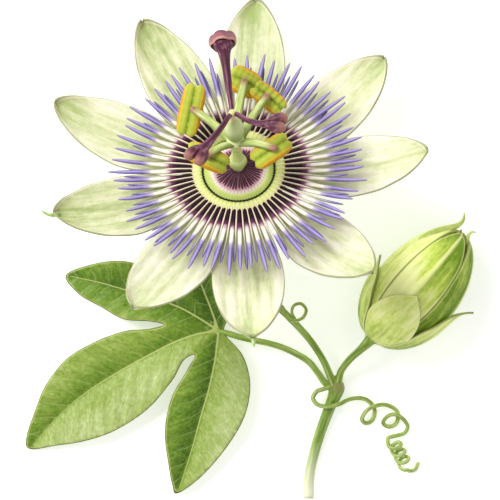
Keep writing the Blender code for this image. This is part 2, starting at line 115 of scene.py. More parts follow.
def add_node(tree, kind, inputs=(), stops=(), feeds=None, **settings):
    """Adds a shader node. inputs gives each socket, in order or by name, a value, a hex
    colour, an output, or a node whose first output in use it takes; a Map Range's are value,
    from low, from high, to low and to high, and a Mix has its share at 0 and its colours at
    6 and 7. stops are a colour ramp's (position, hex colour), and feeds names the Principled
    shader's socket that the node goes into."""
    made = tree.nodes.new("ShaderNode" + kind)
    if kind == "Mix":
        made.data_type = "RGBA"
    for key, value in settings.items():
        setattr(made, key, value)
    for key, value in inputs.items() if isinstance(inputs, dict) else enumerate(inputs):
        if isinstance(value, bpy.types.Node):
            value = first_output(value)
        if isinstance(value, bpy.types.NodeSocket):
            tree.links.new(value, made.inputs[key])
        else:
            made.inputs[key].default_value = to_linear(value) if isinstance(value, str) else value
    for number, (position, hex_colour) in enumerate(stops):
        elements = made.color_ramp.elements
        element = elements[number] if number < 2 else elements.new(position)
        element.position = position
        element.color = to_linear(hex_colour)
    if feeds:
        tree.links.new(first_output(made), tree.nodes["Principled BSDF"].inputs[feeds])
    return made


def first_output(node):
    """A node's first output that its settings leave in use."""
    return next(output for output in node.outputs if output.enabled)


def new_finish(name, roughness, specular=0.35):
    """A material, the function that adds a node to it, and the place stored in the mesh."""
    made = bpy.data.materials.new(name)
    made.use_nodes = True
    shader = made.node_tree.nodes["Principled BSDF"]
    shader.inputs["Roughness"].default_value = roughness
    shader.inputs["Specular IOR Level"].default_value = specular
    add = partial(add_node, made.node_tree)
    return made, add, add("Attribute", attribute_name="place").outputs["Vector"]


def plant_skin(name, deep, middle, pale, stretch=(0.1, 1.3, 1.3), roughness=0.5, relief=0.05):
    """Smooth plant skin. Cell rows make faint streaks along it, and its colour drifts."""
    made, add, place = new_finish(name, roughness)
    along = add("VectorMath", [place, stretch], operation="MULTIPLY")
    streak = add("TexNoise", {"Vector": along, "Scale": 1.0, "Detail": 5.0, "Roughness": 0.6})
    colour = add("ValToRGB", [streak], [(0.3, deep), (0.5, middle), (0.7, pale)], "Base Color")
    add("Bump", {"Height": streak, "Strength": 0.6, "Distance": relief * MM}, feeds="Normal")
    return made, add, place, colour


def smooth_route(route, steps):
    """A Catmull-Rom curve through points of any number of measures."""
    knots = [Vector(point) for point in route]
    knots = [2 * knots[0] - knots[1]] + knots + [2 * knots[-1] - knots[-2]]
    curve = []
    for a, b, c, d in zip(knots, knots[1:], knots[2:], knots[3:]):
        for step in range(steps):
            t = step / steps
            curve.append(0.5 * (2 * b + (c - a) * t + (2 * a - 5 * b + 4 * c - d) * t ** 2
                                + (3 * b - 3 * c + d - a) * t ** 3))
    curve.append(knots[-2])
    return curve


def walk(middles):
    """Each point of a line with its number, its heading and the distance walked to it."""
    distance = 0.0
    for i, middle in enumerate(middles):
        ahead, behind = middles[min(i + 1, len(middles) - 1)], middles[max(i - 1, 0)]
        distance += (middle - middles[i - 1]).length if i else 0.0
        yield i, middle, (ahead - behind).normalized(), distance


def tube_rings(route, sides=20, steps=6, shape=None, rounded=(True, True)):
    """Rings of (point, place) along a route of (x, y, z, radius). shape(angle, share) scales
    the radius; place holds the distance along and the offset from the tube's middle."""
    stations = smooth_route(route, steps)
    middles = [station.xyz for station in stations]
    radii = [max(station.w, 0.03) for station in stations]
    ahead = (middles[1] - middles[0]).normalized()
    behind = (middles[-1] - middles[-2]).normalized()
    first, last = stations[0], stations[-1]
    for reach in (0.45, 0.8, 0.98):
        if rounded[0]:
            middles.insert(0, first.xyz - ahead * first.w * reach * 0.8)
            radii.insert(0, first.w * sqrt(1 - reach ** 2))
        if rounded[1]:
            middles.append(last.xyz + behind * last.w * reach * 0.8)
            radii.append(last.w * sqrt(1 - reach ** 2))
    side = ahead.orthogonal().normalized()
    rings = []
    for i, middle, heading, distance in walk(middles):
        side = ahead.rotation_difference(heading) @ side
        up = heading.cross(side)
        ahead = heading
        radius, share = radii[i], i / (len(middles) - 1)
        ring = []
        for k in range(sides):
            angle = 2 * pi * k / sides
            reach = radius * (shape(angle, share) if shape else 1.0)
            point = middle + (side * cos(angle) + up * sin(angle)) * reach
            ring.append((point, (distance, radius * cos(angle), radius * sin(angle))))
        rings.append(ring)
    return rings


def make_piece(name, points, places, faces, place_in, finish, thickness=0.0):
    """One smooth object from points in millimetres in the frame place_in, with the places
    that its finish reads. A thickness makes a sheet of tissue solid."""
    mesh = bpy.data.meshes.new(name)
    mesh.from_pydata([Vector(point) * MM for point in points], [], faces)
    mesh.attributes.new("place", "FLOAT_VECTOR", "POINT").data.foreach_set("vector", places)
    mesh.shade_smooth()
    mesh.materials.append(finish)
    piece = bpy.data.objects.new(name, mesh)
    bpy.context.scene.collection.objects.link(piece)
    piece.matrix_world = place_in
    if thickness:
        tissue = piece.modifiers.new("tissue", "SOLIDIFY")
        tissue.thickness = thickness * MM
        tissue.offset = 0.0
    return piece


def loft(name, strands, place_in, finish, looped=False):
    """One piece from strands of rings. Each strand is a closed skin: its ends are capped, or
    its last ring joins its first if it is looped."""
    points, places, faces = [], [], []
    for rings in strands:
        first, sides, count = len(points), len(rings[0]), len(rings)
        for ring in rings:
            points += [point for point, _ in ring]
            for _, spot in ring:
                places += spot
        for i in range(count if looped else count - 1):
            here, there = first + i * sides, first + (i + 1) % count * sides
            for k in range(sides):
                after = (k + 1) % sides
                faces.append((here + k, here + after, there + after, there + k))
        if not looped:
            last = first + (count - 1) * sides
            faces.append(tuple(first + k for k in reversed(range(sides))))
            faces.append(tuple(last + k for k in range(sides)))
    return make_piece(name, points, places, faces, place_in, finish)


def settle(piece, slot, *nodes):
    """The piece belongs to the sprig's one body and stands for these CAD nodes, if any."""
    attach(piece, "root")
    if nodes:
        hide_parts(*nodes)


def ribbed(angle, share):
    """Seven low ribs, strongest in the middle of a stem."""
    return 1 + 0.045 * cos(7 * angle) * sin(pi * min(max(share, 0.02), 0.98)) ** 0.3


# Stem skin: young green vine that bleaches to cream toward the cut.
stem_skin, add, place, colour = plant_skin("Young passion vine skin", "5A7A28", "8CAA48", "CBD690")
travel = add("SeparateXYZ", [place])
bleach = add("MapRange", [travel, 15.0, 2.0])
drained = add("Mix", {0: bleach, 6: colour, 7: "E9EAC9"})
collar = add("MapRange", [travel, 28.2, 29.6])
add("Mix", {0: collar, 6: drained, 7: "9DA05C"}, feeds="Base Color")
settle(loft("vine_stem", [tube_rings(STEM_ROUTE, 28, 6, ribbed, (False, True))], ground, stem_skin),
       "stem_green", "stem")

# Stalk skin: the same young vine, fresher, with pale streaks along its ribs.
stalk_skin = plant_skin("Passion vine stalk skin", "62802A", "97B44C", "D2DC90")[0]
for name, route, sides, slot, node in (
        ("leaf_petiole", PETIOLE_ROUTE, 18, "petiole_green", "petiole"),
        ("flower_stalk", FLOWER_PEDICEL_ROUTE, 20, "pedicel_green", "flower_pedicel"),
        ("bud_stalk", BUD_PEDICEL_ROUTE, 20, "bud_stalk_green", "bud_pedicel")):
    settle(loft(name, [tube_rings(route, sides, 6, ribbed)], ground, stalk_skin), slot, node)

# ---- tendrils ----
# Wiry climbing tendrils, round and smooth. The long one crosses over the stem, lies on the
# surface in two loops and ends in a tight coil; the short one curls by the flower's stalk.
TENDRIL_RADIUS = 0.54
TENDRIL_ROUTE = [
    (23.4, -55.0, 3.3), (21.6, -55.6, 3.6), (19.9, -56.2, 3.7), (18.9, -57.9, 3.8),
    (20.2, -59.6, 3.9), (22.7, -60.0, 4.0), (25.6, -59.4, 3.8), (28.4, -58.2, 2.6),
    (31.3, -58.0, 1.4), (33.5, -59.0, 0.7), (34.8, -61.2, 0.6), (34.1, -63.7, 0.6),
    (32.4, -64.4, 0.8), (31.5, -63.3, 1.5), (32.4, -61.5, 2.0), (34.2, -60.2, 2.1),
    (37.1, -59.6, 1.6), (39.6, -60.5, 0.8), (40.8, -62.2, 0.6), (40.3, -64.4, 0.6),
    (38.5, -65.3, 0.8), (36.9, -64.4, 1.5), (37.8, -62.8, 2.0), (39.6, -62.1, 2.1),
    (41.7, -63.0, 1.6), (43.2, -65.1, 0.8), (42.4, -66.9, 0.6), (40.3, -67.6, 0.6),
    (38.2, -68.2, 0.6),
]
COIL_START = Vector((39.6, -69.3, 1.75))
COIL_END = Vector((42.7, -75.3, 1.75))
# the loops of the coil lean forward along it, so each one lies open
COIL_LOOP = Vector((0.0, 0.0, 0.78))
COIL_LEAN = 0.72
COIL_RADIUS = 1.53
COIL_TURNS = 3.25
COIL_POINTS = 40
TENDRIL_TAIL = [(43.6, -76.7, 0.6), (45.2, -76.3, 0.6), (45.9, -74.6, 0.6)]
CURL_ROUTE = [
    (10.2, -33.6, 8.3, 0.42), (11.3, -34.9, 8.9, 0.46), (12.1, -37.0, 9.3, 0.46),
    (14.0, -38.0, 9.4, 0.45), (16.2, -37.3, 9.0, 0.44), (17.1, -35.3, 8.6, 0.43),
    (15.8, -33.7, 8.3, 0.42), (14.0, -34.2, 8.2, 0.4), (13.5, -35.9, 8.3, 0.38),
    (14.3, -37.6, 8.45, 0.34), (15.0, -38.6, 8.5, 0.26),
]
coil_heading = (COIL_END - COIL_START).normalized()
coil_side = coil_heading.cross(Vector((0, 0, 1)))
coil = []
for i in range(COIL_POINTS):
    share = i / (COIL_POINTS - 1)
    angle = pi + 2 * pi * COIL_TURNS * share
    loop_way = COIL_LOOP + coil_heading * COIL_LEAN
    swing = coil_side * cos(angle) + loop_way * sin(angle)
    coil.append(COIL_START.lerp(COIL_END, share) - swing * COIL_RADIUS)
tendril_points = TENDRIL_ROUTE + [tuple(point) for point in coil] + TENDRIL_TAIL
tendril_route = []
for number, point in enumerate(tendril_points):
    taper = 1.06 - 0.26 * number / len(tendril_points)
    tendril_route.append((*point, TENDRIL_RADIUS * taper))
# Tendril skin: yellow-green and a little glossier than the stem, faintly streaked.
tendril_skin = plant_skin("Tendril skin", "728E32", "A4BA5C", "DAE2A2", (0.25, 2.0, 2.0), 0.42)[0]
for size, route, steps in (("long", tendril_route, 4), ("short", CURL_ROUTE, 6)):
    settle(loft(f"{size}_tendril", [tube_rings(route, 14, steps)], ground, tendril_skin),
           "tendril_green", f"tendril_{size}")

# ---- leaf ----
# A palmate blade of leathery green tissue with four lobes. Each lobe folds a little along its
# midrib and side veins run forward from it; a fine yellowish thread edges the whole blade.
LEAF_FOOT = Vector((-5.2, -40.6, 4.2))
LEAF_REACH = 57.5
LEAF_THICKNESS = 0.5
LEAF_FOLD = 1.5
FOLD_WIDTH = 3.2
VEIN_SPACING = 4.6
LEAF_WAVE = 0.3
LEAF_CORNERS = [
    (1.5, 0.8), (3.0, 4.8), (2.2, 9.4), (-1.2, 13.8), (-4.8, 19.2), (-9.5, 24.5), (-12.7, 20.4),
    (-13.4, 16.0), (-12.6, 12.2), (-15.4, 13.6), (-20.2, 16.8), (-26.0, 17.8), (-32.8, 16.8),
    (-39.1, 14.0), (-35.6, 9.2), (-30.1, 6.1), (-24.2, 2.9), (-18.0, 2.4), (-13.9, 1.5),
    (-17.8, 0.4), (-24.2, -0.2), (-31.8, -3.0), (-39.0, -7.4), (-44.2, -14.0), (-46.9, -20.4),
    (-49.2, -27.2), (-48.4, -30.4), (-41.6, -29.5), (-34.4, -28.3), (-26.6, -25.6), (-18.3, -20.2),
    (-11.9, -12.8), (-8.9, -7.6), (-6.0, -6.3), (-8.4, -10.8), (-12.0, -17.2), (-13.7, -25.6),
    (-12.9, -33.6), (-11.8, -39.6), (-10.5, -41.7), (-4.3, -37.2), (2.0, -29.9), (6.6, -22.0),
    (8.1, -13.8), (6.2, -6.4), (1.8, -1.2),
]
MIDRIBS = [
    [(0.0, 0.0), (-2.3, 6.4), (-5.6, 14.6), (-9.0, 23.2)],
    [(0.0, 0.0), (-8.9, 5.4), (-17.0, 8.4), (-24.2, 10.5), (-31.0, 12.4), (-38.0, 13.9)],
    [(0.0, 0.0), (-5.5, -0.9), (-11.0, -2.8), (-17.4, -6.0), (-25.9, -10.7), (-34.4, -16.2),
     (-41.6, -22.5), (-47.6, -29.4)],
    [(0.0, 0.0), (-0.4, -3.4), (-1.1, -8.5), (-2.6, -15.3), (-4.5, -21.7), (-6.8, -30.1),
     (-10.2, -40.8)],
]
# painted shade: how light each lobe's half is painted, left and right of its midrib
LOBE_PAINTED_SHADES = [(0.1, 0.18), (0.34, 0.28), (0.7, 0.44), (0.66, 0.26)]
LEAF_GRAIN = 0.8


def closed_route(corners, steps):
    """A closed Catmull-Rom curve through flat corners."""
    count = len(corners)
    wrapped = [corners[(i - 1) % count] for i in range(count + 3)]
    inner = smooth_route(wrapped, steps)
    return inner[steps:steps * (count + 1)]


def inside(point, loop):
    """Whether a point is inside a closed loop, by counting the edges to its right."""
    hit = False
    for a, b in zip(loop, loop[1:] + loop[:1]):
        if (a.y > point.y) != (b.y > point.y):
            hit ^= point.x < a.x + (point.y - a.y) * (b.x - a.x) / (b.y - a.y)
    return hit


def beside(point, line):
    """Distance along a line to the point's foot on it, distance from it, and the side."""
    best = (1e9, 0.0, 1.0)
    walked = 0.0
    for a, b in zip(line, line[1:]):
        step = b - a
        share = min(max((point - a).dot(step) / step.length_squared, 0.0), 1.0)
        away = point - (a + step * share)
        if away.length < best[0]:
            turn = step.x * away.y - step.y * away.x
            best = (away.length, walked + share * step.length, 1.0 if turn > 0 else -1.0)
        walked += step.length
    return best


leaf_outline = closed_route(LEAF_CORNERS, 7)
leaf_ribs = [smooth_route(rib, 8) for rib in MIDRIBS]
leaf_points = list(leaf_outline)
leaf_edges = [(i, (i + 1) % len(leaf_outline)) for i in range(len(leaf_outline))]
for rib in leaf_ribs:
    start = len(leaf_points)
    leaf_points += rib
    leaf_edges += [(start + i, start + i + 1) for i in range(len(rib) - 1)]
fence = closed_route(LEAF_CORNERS, 18)
rib_fence = [spot for rib in MIDRIBS for spot in smooth_route(rib, 22)]
for column in range(-60, 14):
    for row in range(-58, 36):
        spot = Vector((column * LEAF_GRAIN + (row % 2) * LEAF_GRAIN / 2,
                       row * LEAF_GRAIN * 0.866))
        if not inside(spot, leaf_outline):
            continue
        if min((spot - edge).length_squared for edge in fence) < 0.16:
            continue
        if min((spot - edge).length_squared for edge in rib_fence) > 0.2:
            leaf_points.append(spot)
flat, _, leaf_faces, *_ = delaunay_2d_cdt(leaf_points, leaf_edges, [], 1, 1e-4)
leaf_spots = []
leaf_places = []
leaf_margins = []
leaf_painted_shades = []
for spot in flat:
    near = [beside(spot, rib) for rib in leaf_ribs]
    away, walked, side = min(near, key=lambda found: found[0])
    # the lobes' painted shade blends smoothly across the sinuses between them
    weights = [1 / (found[0] + 0.15) ** 4 for found in near]
    tones = []
    for tone, found in zip(LOBE_PAINTED_SHADES, near):
        lit = 0.5 + 0.5 * found[2] * min(found[0] / 0.1, 1)
        tones.append(tone[0] * lit + tone[1] * (1 - lit))
    leaf_painted_shades.append(sum(w * t for w, t in zip(weights, tones)) / sum(weights))
    margin = min((spot - edge).length for edge in leaf_outline)
    droop = (spot.length / LEAF_REACH) ** 2
    level = LEAF_THICKNESS / 2 + (LEAF_FOOT.z - LEAF_THICKNESS / 2) * (1 - droop)
    fold = LEAF_FOLD * (1 - exp(-away / FOLD_WIDTH)) * min(walked / 8, 1)
    quilt = 0.16 * cos(2 * pi * (walked - 0.8 * away) / VEIN_SPACING) * min(away / 3, 1)
    wave = LEAF_WAVE * sin(walked / 3.1 + side) * (away / 8) ** 2
    leaf_spots.append((spot.x, spot.y, level + fold + quilt + max(wave, -0.1) + 0.1))
    leaf_places += (walked, away, side)
    leaf_margins.append(margin)

# Leaf tissue: painted shade where a lobe's half turns from the light, painted light where
# it faces it, with pale veins sunk a little into it and a net of small veins, 1.4 mm apart,
# between them.
leaf_finish, add, place = new_finish("Passion leaf tissue", 0.5, 0.3)
walked, away, side = add("SeparateXYZ", [place]).outputs
spot = add("TexCoord").outputs["Object"]
lean = add("Math", [away, -0.8, walked], operation="MULTIPLY_ADD")
halves = add("Math", [side, 40.0], operation="MULTIPLY")
brushed = add("CombineXYZ", [lean, away, halves])
brushed = add("VectorMath", [brushed, (1.15, 0.42, 1.0)], operation="MULTIPLY")
drift = add("TexNoise", {"Vector": brushed, "Scale": 1.0, "Detail": 8.0, "Roughness": 0.72,
                         "Distortion": 1.1})
cloud = add("TexNoise", {"Vector": spot, "Scale": 95.0, "Detail": 3.0})
grain = add("TexNoise", {"Vector": spot, "Scale": 900.0, "Detail": 3.0, "Roughness": 0.7})
lobe_painted_shade = add("Attribute", attribute_name="tone")
mixed = lobe_painted_shade.outputs["Fac"]
for pattern, strength in ((drift, 0.95), (grain, 0.5), (cloud, 0.4)):
    mixed = add("Math", [pattern, strength, mixed], operation="MULTIPLY_ADD")
near_rib = add("MapRange", [away, 0.0, 6.0, -1.12, -0.88])
mixed = add("Math", [mixed, near_rib])
tissue = add("ValToRGB", [mixed], [(0.0, "3E5E08"), (0.25, "62841A"), (0.5, "8CA240"), (0.72, "ACBC74"),
                                   (1.0, "D0DAA6")])
bent = add("Math", [cloud, 5.0, lean], operation="MULTIPLY_ADD")
rhythm = add("Math", [bent, VEIN_SPACING / 2], operation="PINGPONG")
side_vein = add("MapRange", [rhythm, 0.17, 0.06])
fading = add("MapRange", [away, 8.0, 1.0, 0.03, 0.36])
side_vein = add("Math", [side_vein, fading], operation="MULTIPLY")
rib_width = add("MapRange", [walked, 0.0, 46.0, 0.3, 0.1])
rib_edge = add("Math", [rib_width, away], operation="SUBTRACT")
midrib = add("MapRange", [rib_edge, -0.06, 0.1])
net = add("TexVoronoi", {"Vector": spot, "Scale": 700.0}, feature="DISTANCE_TO_EDGE")
net_line = add("MapRange", [net, 0.1, 0.0, 0.0, 0.12])
veined = tissue
for vein, hex_colour in ((net_line, "A9BC74"), (side_vein, "BCC985"), (midrib, "B9C274")):
    veined = add("Mix", {0: vein, 6: veined, 7: hex_colour})
margin = add("Attribute", attribute_name="margin")
thread = add("MapRange", [margin.outputs["Fac"], 0.6, 0.35, 0.0, 0.7])
edged = add("Mix", {0: thread, 6: veined, 7: "B4BC6C"})
rim = add("MapRange", [margin.outputs["Fac"], 0.26, 0.12, 0.0, 0.9])
add("Mix", {0: rim, 6: edged, 7: "5E6E2A"}, feeds="Base Color")
sunk = add("Math", [side_vein, midrib], operation="MAXIMUM")
sunk = add("Math", [sunk, net_line])
add("Bump", {"Height": sunk, "Strength": 0.8, "Distance": 0.12 * MM}, invert=True, feeds="Normal")
leaf = make_piece("passion_leaf", leaf_spots, leaf_places, leaf_faces,
                  ground @ Matrix.Translation((LEAF_FOOT.x * MM, LEAF_FOOT.y * MM, 0)),
                  leaf_finish, LEAF_THICKNESS)
for measure, values in (("margin", leaf_margins), ("tone", leaf_painted_shades)):
    leaf.data.attributes.new(measure, "FLOAT", "POINT").data.foreach_set("value", values)
settle(leaf, "leaf_green", "leaf_blade")

# ---- receptacle ----
# The solid fleshy cup behind the flower that everything else grows from.
RECEPTACLE_PROFILE = [
    (0.0, -10.0), (2.0, -9.9), (5.0, -9.2), (8.4, -7.7), (10.4, -5.9), (10.9, -4.6), (10.2, -3.8),
    (7.9, -3.4), (7.9, -1.7), (5.0, -1.6), (0.0, -1.6),
]


def turned_rings(profile, sides, steps=4, ripple=None, shape=None):
    """Circles about local Z through a smoothed (radius, height) profile. ripple(angle) lifts
    the skin and shape(angle) scales it; place holds the radius, the height and the ripple."""
    rings = []
    for station in smooth_route(profile, steps):
        ring = []
        for k in range(sides):
            angle = 2 * pi * k / sides
            radius = max(station.x, 0.01) * (shape(angle) if shape else 1.0)
            wave = ripple(angle) if ripple else 0.0
            point = Vector((radius * cos(angle), radius * sin(angle), station.y + wave))
            ring.append((point, (station.x, station.y, wave)))
        rings.append(ring)
    return rings


# Receptacle flesh: sap green in soft paler clouds a millimetre or two across.
cup_skin = plant_skin("Receptacle flesh", "7F9A4C", "A3BC6E", "C6D69A", (0.6, 0.6, 0.6))[0]
settle(loft("receptacle_cup", [turned_rings(RECEPTACLE_PROFILE, 60)], face, cup_skin),
       "receptacle_green", "receptacle")

# ---- tepals ----
# Nine thin fleshy blades in two layers, five sepals behind and four petals in front, fixed to
# the rim of the cup. They dip behind the corona and rise again to hooded tips.
TEPAL_FOOT = 8.3
TEPAL_WIDEST = 0.52
TEPAL_THICKNESS = 0.5
SEPAL_LEVEL = -2.95
PETAL_LEVEL = -1.95
TEPAL_DIP = 11.5
TEPAL_RISE = 13.6
# name, direction in the face, radius of the tip, half width, tint of green
SEPALS = [
    ("sepal_1", 35.4, 49.0, 8.8, 0.42),
    ("sepal_2", 112.8, 52.4, 8.6, 0.85),
    ("sepal_3", 188.0, 47.4, 8.8, 0.9),
    ("sepal_4", 268.6, 48.6, 9.0, 0.28),
    ("sepal_5", 311.2, 45.2, 8.6, 0.24),
]
PETALS = [
    ("petal_1", 79.5, 51.0, 8.9, 0.95),
    ("petal_2", 149.8, 51.2, 8.7, 0.8),
    ("petal_3", 231.4, 47.2, 9.0, 0.35),
    ("petal_4", -1.6, 47.4, 8.6, 0.38),
]


def blade(name, surface, grid, thickness, place_in, finish):
    """A thin curved blade with rounded tissue edges. surface(u, v) gives a point of its
    middle in millimetres and the place stored there, for u 0 to 1 along and v -1 to 1."""
    lengthwise, crosswise = grid
    points, places = [], []
    for i in range(lengthwise + 1):
        for j in range(crosswise + 1):
            point, spot = surface(i / lengthwise, 2 * j / crosswise - 1)
            points.append(point)
            places += spot
    row = crosswise + 1
    faces = []
    for i in range(lengthwise):
        for j in range(i * row, i * row + crosswise):
            faces.append((j, j + 1, j + row + 1, j + row))
    return make_piece(name, points, places, faces, place_in, finish, thickness)


def strap_rings(route, sides=10, steps=4, seed=0.0):
    """Rings of a flattened strand through (x, y, z, half width, half depth) stations, its
    flat side to local Z. place holds the distance along, the share across and the seed."""
    stations = smooth_route(route, steps)
    middles = [Vector(station[:3]) for station in stations]
    rings = []
    for i, middle, heading, distance in walk(middles):
        side = Vector((0, 0, 1)).cross(heading).normalized()
        up = heading.cross(side)
        ring = []
        for k in range(sides):
            angle = 2 * pi * k / sides
            across = side * cos(angle) * stations[i][3] + up * sin(angle) * stations[i][4]
            ring.append((middle + across, (distance, cos(angle), seed)))
        rings.append(ring)
    return rings


def tepal_skin(name, cream, streak, deep, edge, tint, painted_side_shade=(0.0, 0.0), keel=0.0, lip=0.65,
               ends=(0.12, 0.14), hood_from=0.76):
    """Thin petal flesh: cream with soft green streaks along it and a thin darker margin.
    place is the share along, the millimetres across and the millimetres to the margin;
    painted_side_shade is painted shade that deepens it toward one side and the other, with a
    step at its middle. keel is the strength of a pale line along its middle and lip that of
    the pale band inside its margin. ends is how much deeper its foot and its hood are, and
    hood_from is where the hood's green sets in."""
    made, add, place = new_finish(name, 0.55, 0.25)
    along, across, margin = add("SeparateXYZ", [place]).outputs
    drawn_out = add("VectorMath", [place, (2.4, 0.42, 0.0)], operation="MULTIPLY")
    moved = add("VectorMath", [drawn_out, (tint * 37, tint * 91, 0.0)])
    streaks = add("TexNoise", {"Vector": moved, "Scale": 1.0, "Detail": 7.0, "Roughness": 0.68})
    spot = add("TexCoord").outputs["Object"]
    wash = add("TexNoise", {"Vector": spot, "Scale": 330.0, "Detail": 6.0, "Roughness": 0.75})
    aside = add("Math", [across], operation="ABSOLUTE")
    middle = add("MapRange", [aside, 0.0, 7.5, 0.06, -0.05])
    foot = add("MapRange", [along, 0.25, 0.62, ends[0], 0.0])
    hood = add("MapRange", [along, hood_from, 0.97, 0.0, ends[1]])
    weight = streaks
    for part in (middle, foot, hood):
        weight = add("Math", [weight, part])
    weight = add("Math", [wash, 0.42, weight], operation="MULTIPLY_ADD")
    # painted shade: deeper toward the side that turns from the light, with a step at the middle
    lean = add("MapRange", [across, -4.0, 4.0, painted_side_shade[0], painted_side_shade[1]])
    painted_keel_shade = add("MapRange", [across, -0.25, 0.25, painted_side_shade[0] * 0.6, painted_side_shade[1] * 0.6])
    for part in (painted_keel_shade, lean, tint * 0.2 - 0.27):
        weight = add("Math", [weight, part])
    flesh = add("ValToRGB", [weight], [(0.38, cream), (0.6, streak), (0.84, deep)])
    band = add("MapRange", [margin, 0.7, 0.35, 0.0, lip])
    lipped = add("Mix", {0: band, 6: flesh, 7: cream})
    crest = add("MapRange", [aside, 0.42, 0.1, 0.0, keel])
    lipped = add("Mix", {0: crest, 6: lipped, 7: cream})
    line = add("MapRange", [margin, 0.22, 0.06, 0.0, 0.75])
    add("Mix", {0: line, 6: lipped, 7: edge}, feeds="Base Color")
    shader = made.node_tree.nodes["Principled BSDF"]
    shader.inputs["Subsurface Weight"].default_value = 0.12
    shader.inputs["Subsurface Scale"].default_value = 1.5 * MM
    add("Bump", {"Height": streaks, "Strength": 0.7, "Distance": 0.18 * MM}, feeds="Normal")
    return made


def tepal_surface(direction, reach, half_width, foot_height):
    """A tepal's middle surface, with shallow lengthwise furrows and a hooded, waved rim."""
    turn = Matrix.Rotation(radians(direction), 3, "Z")

    def surface(u, v):
        if u < TEPAL_WIDEST:
            half = half_width * (0.3 + 0.7 * sin(pi / 2 * u / TEPAL_WIDEST) ** 1.3)
        else:
            off = 0.998 * (u - TEPAL_WIDEST) / (1 - TEPAL_WIDEST)
            half = half_width * (1 - off ** 2) ** 0.66
        length = reach - TEPAL_FOOT
        height = foot_height - TEPAL_DIP * u + TEPAL_RISE * u ** 2 + 1.3 * u * v ** 2
        height += 0.3 * max(u - 0.35, 0) * abs(v) ** 5
        height += 0.12 * v ** 4 * (1 + sin(u * 31 + direction + 2 * v))
        height -= 0.14 * cos(half * v * 2.1) * sin(pi * u)
        margin = min((1 - abs(v)) * half, (1 - u) * length * 1.6)
        spot = turn @ Vector((TEPAL_FOOT + length * u, half * v, height))
        return spot, (u, half * v, margin)

    return surface


# Sepal flesh is cream washed with green; the petals' is paler, with a darker margin line.
for kind, rows, level, slot, hues in (
        ("Sepal", SEPALS, SEPAL_LEVEL, "sepal_cream_green",
         ("EFECD4", "D2D8A8", "A0B06C", "868F50")),
        ("Petal", PETALS, PETAL_LEVEL, "petal_cream_white",
         ("F0EDD8", "D6DBB0", "AABA76", "8C9456"))):
    for name, direction, reach, half, tint in rows:
        skin = tepal_skin(f"{kind} flesh {name[-1]}", *hues, tint)
        surface = tepal_surface(direction, reach, half, level)
        settle(blade(f"cream_{name}", surface, (72, 36), TEPAL_THICKNESS, face, skin), slot, name)
# small green awns: a short straight one, and a hooked one
for number, direction, awn_points in ((4, 268.6, [(47.6, 0.0, -0.75), (49.2, 0.1, -0.45),
                                                  (50.4, 0.1, -0.2), (51.2, 0.2, -0.2)]),
                                      (3, 188.0, [(46.2, 0.0, -0.9), (48.1, 0.1, -0.35),
                                                  (49.6, -0.7, 0.1), (50.3, -1.9, 0.3)])):
    route = [(*Vector(point), half, half * 0.8)
             for point, half in zip(awn_points, (0.75, 0.55, 0.36, 0.06))]
    awn_frame = face @ Matrix.Rotation(radians(direction), 4, "Z")
    settle(loft(f"sepal_awn_{number}", [strap_rings(route, 10, 4)], awn_frame, cup_skin),
           "sepal_cream_green")

# ---- flower bracts ----
# Three broad leafy bracts that cup the flower from behind, fixed to its stalk.
BRACT_THICKNESS = 0.5
BRACT_LENGTH = 17.0


def bract_surface(direction):
    """A bract's middle surface, cupped, with a raised midrib behind."""
    turn = Matrix.Rotation(radians(direction), 3, "Z")

    def surface(u, v):
        half = 0.9 + 5.8 * sin(pi * u ** 0.85) ** 0.9 * (1 - 0.25 * u)
        height = -11.4 + 5.6 * u - 0.6 * u ** 2 + 0.9 * u * v ** 2 - 0.35 * exp(-abs(v) * 5)
        margin = min((1 - abs(v)) * half, (1 - u) * BRACT_LENGTH + 0.2)
        return turn @ Vector((1.9 + BRACT_LENGTH * u, half * v, height)), (u, half * v, margin)

    return surface


# Bract tissue: fresh leafy green with soft streaks and a pale margin.
bract_skin = tepal_skin("Bract tissue", "C3D67E", "A6C36A", "7FA24A", "DDE0A0", 0.4)
for number, direction in enumerate((25.0, 145.0, 265.0), start=1):
    settle(blade(f"leafy_bract_{number}", bract_surface(direction), (40, 24), BRACT_THICKNESS, face,
                 bract_skin), "bract_green", f"flower_bract_{number}")

# ---- corona ----
# Two rows of sixty soft filaments growing from the rim of the throat. The front row is dark,
# then white, then violet to its tips; the back row is thin, pale and shorter.
FILAMENT_COUNT = 60
FRONT_FILAMENT = [
    (11.2, 0.05, 0.36, 0.3), (12.0, 0.2, 0.48, 0.32), (14.0, 0.34, 0.54, 0.32),
    (16.6, 0.42, 0.57, 0.32), (19.5, 0.68, 0.56, 0.3), (22.5, 1.0, 0.57, 0.3),
    (25.0, 1.35, 0.59, 0.34), (27.5, 1.75, 0.57, 0.33), (29.6, 2.15, 0.47, 0.28),
    (31.1, 2.46, 0.33, 0.22), (31.9, 2.62, 0.21, 0.15), (32.2, 2.66, 0.05, 0.05),
]
BACK_FILAMENT = [
    (10.5, 0.42, 0.11, 0.1), (11.4, 0.56, 0.15, 0.13), (13.5, 0.6, 0.16, 0.14),
    (16.5, 0.62, 0.19, 0.15), (19.0, 0.44, 0.24, 0.16), (21.0, 0.12, 0.28, 0.18),
    (24.0, 0.22, 0.38, 0.22), (27.0, 0.62, 0.36, 0.2), (28.9, 0.95, 0.22, 0.15),
    (29.6, 1.08, 0.05, 0.04),
]


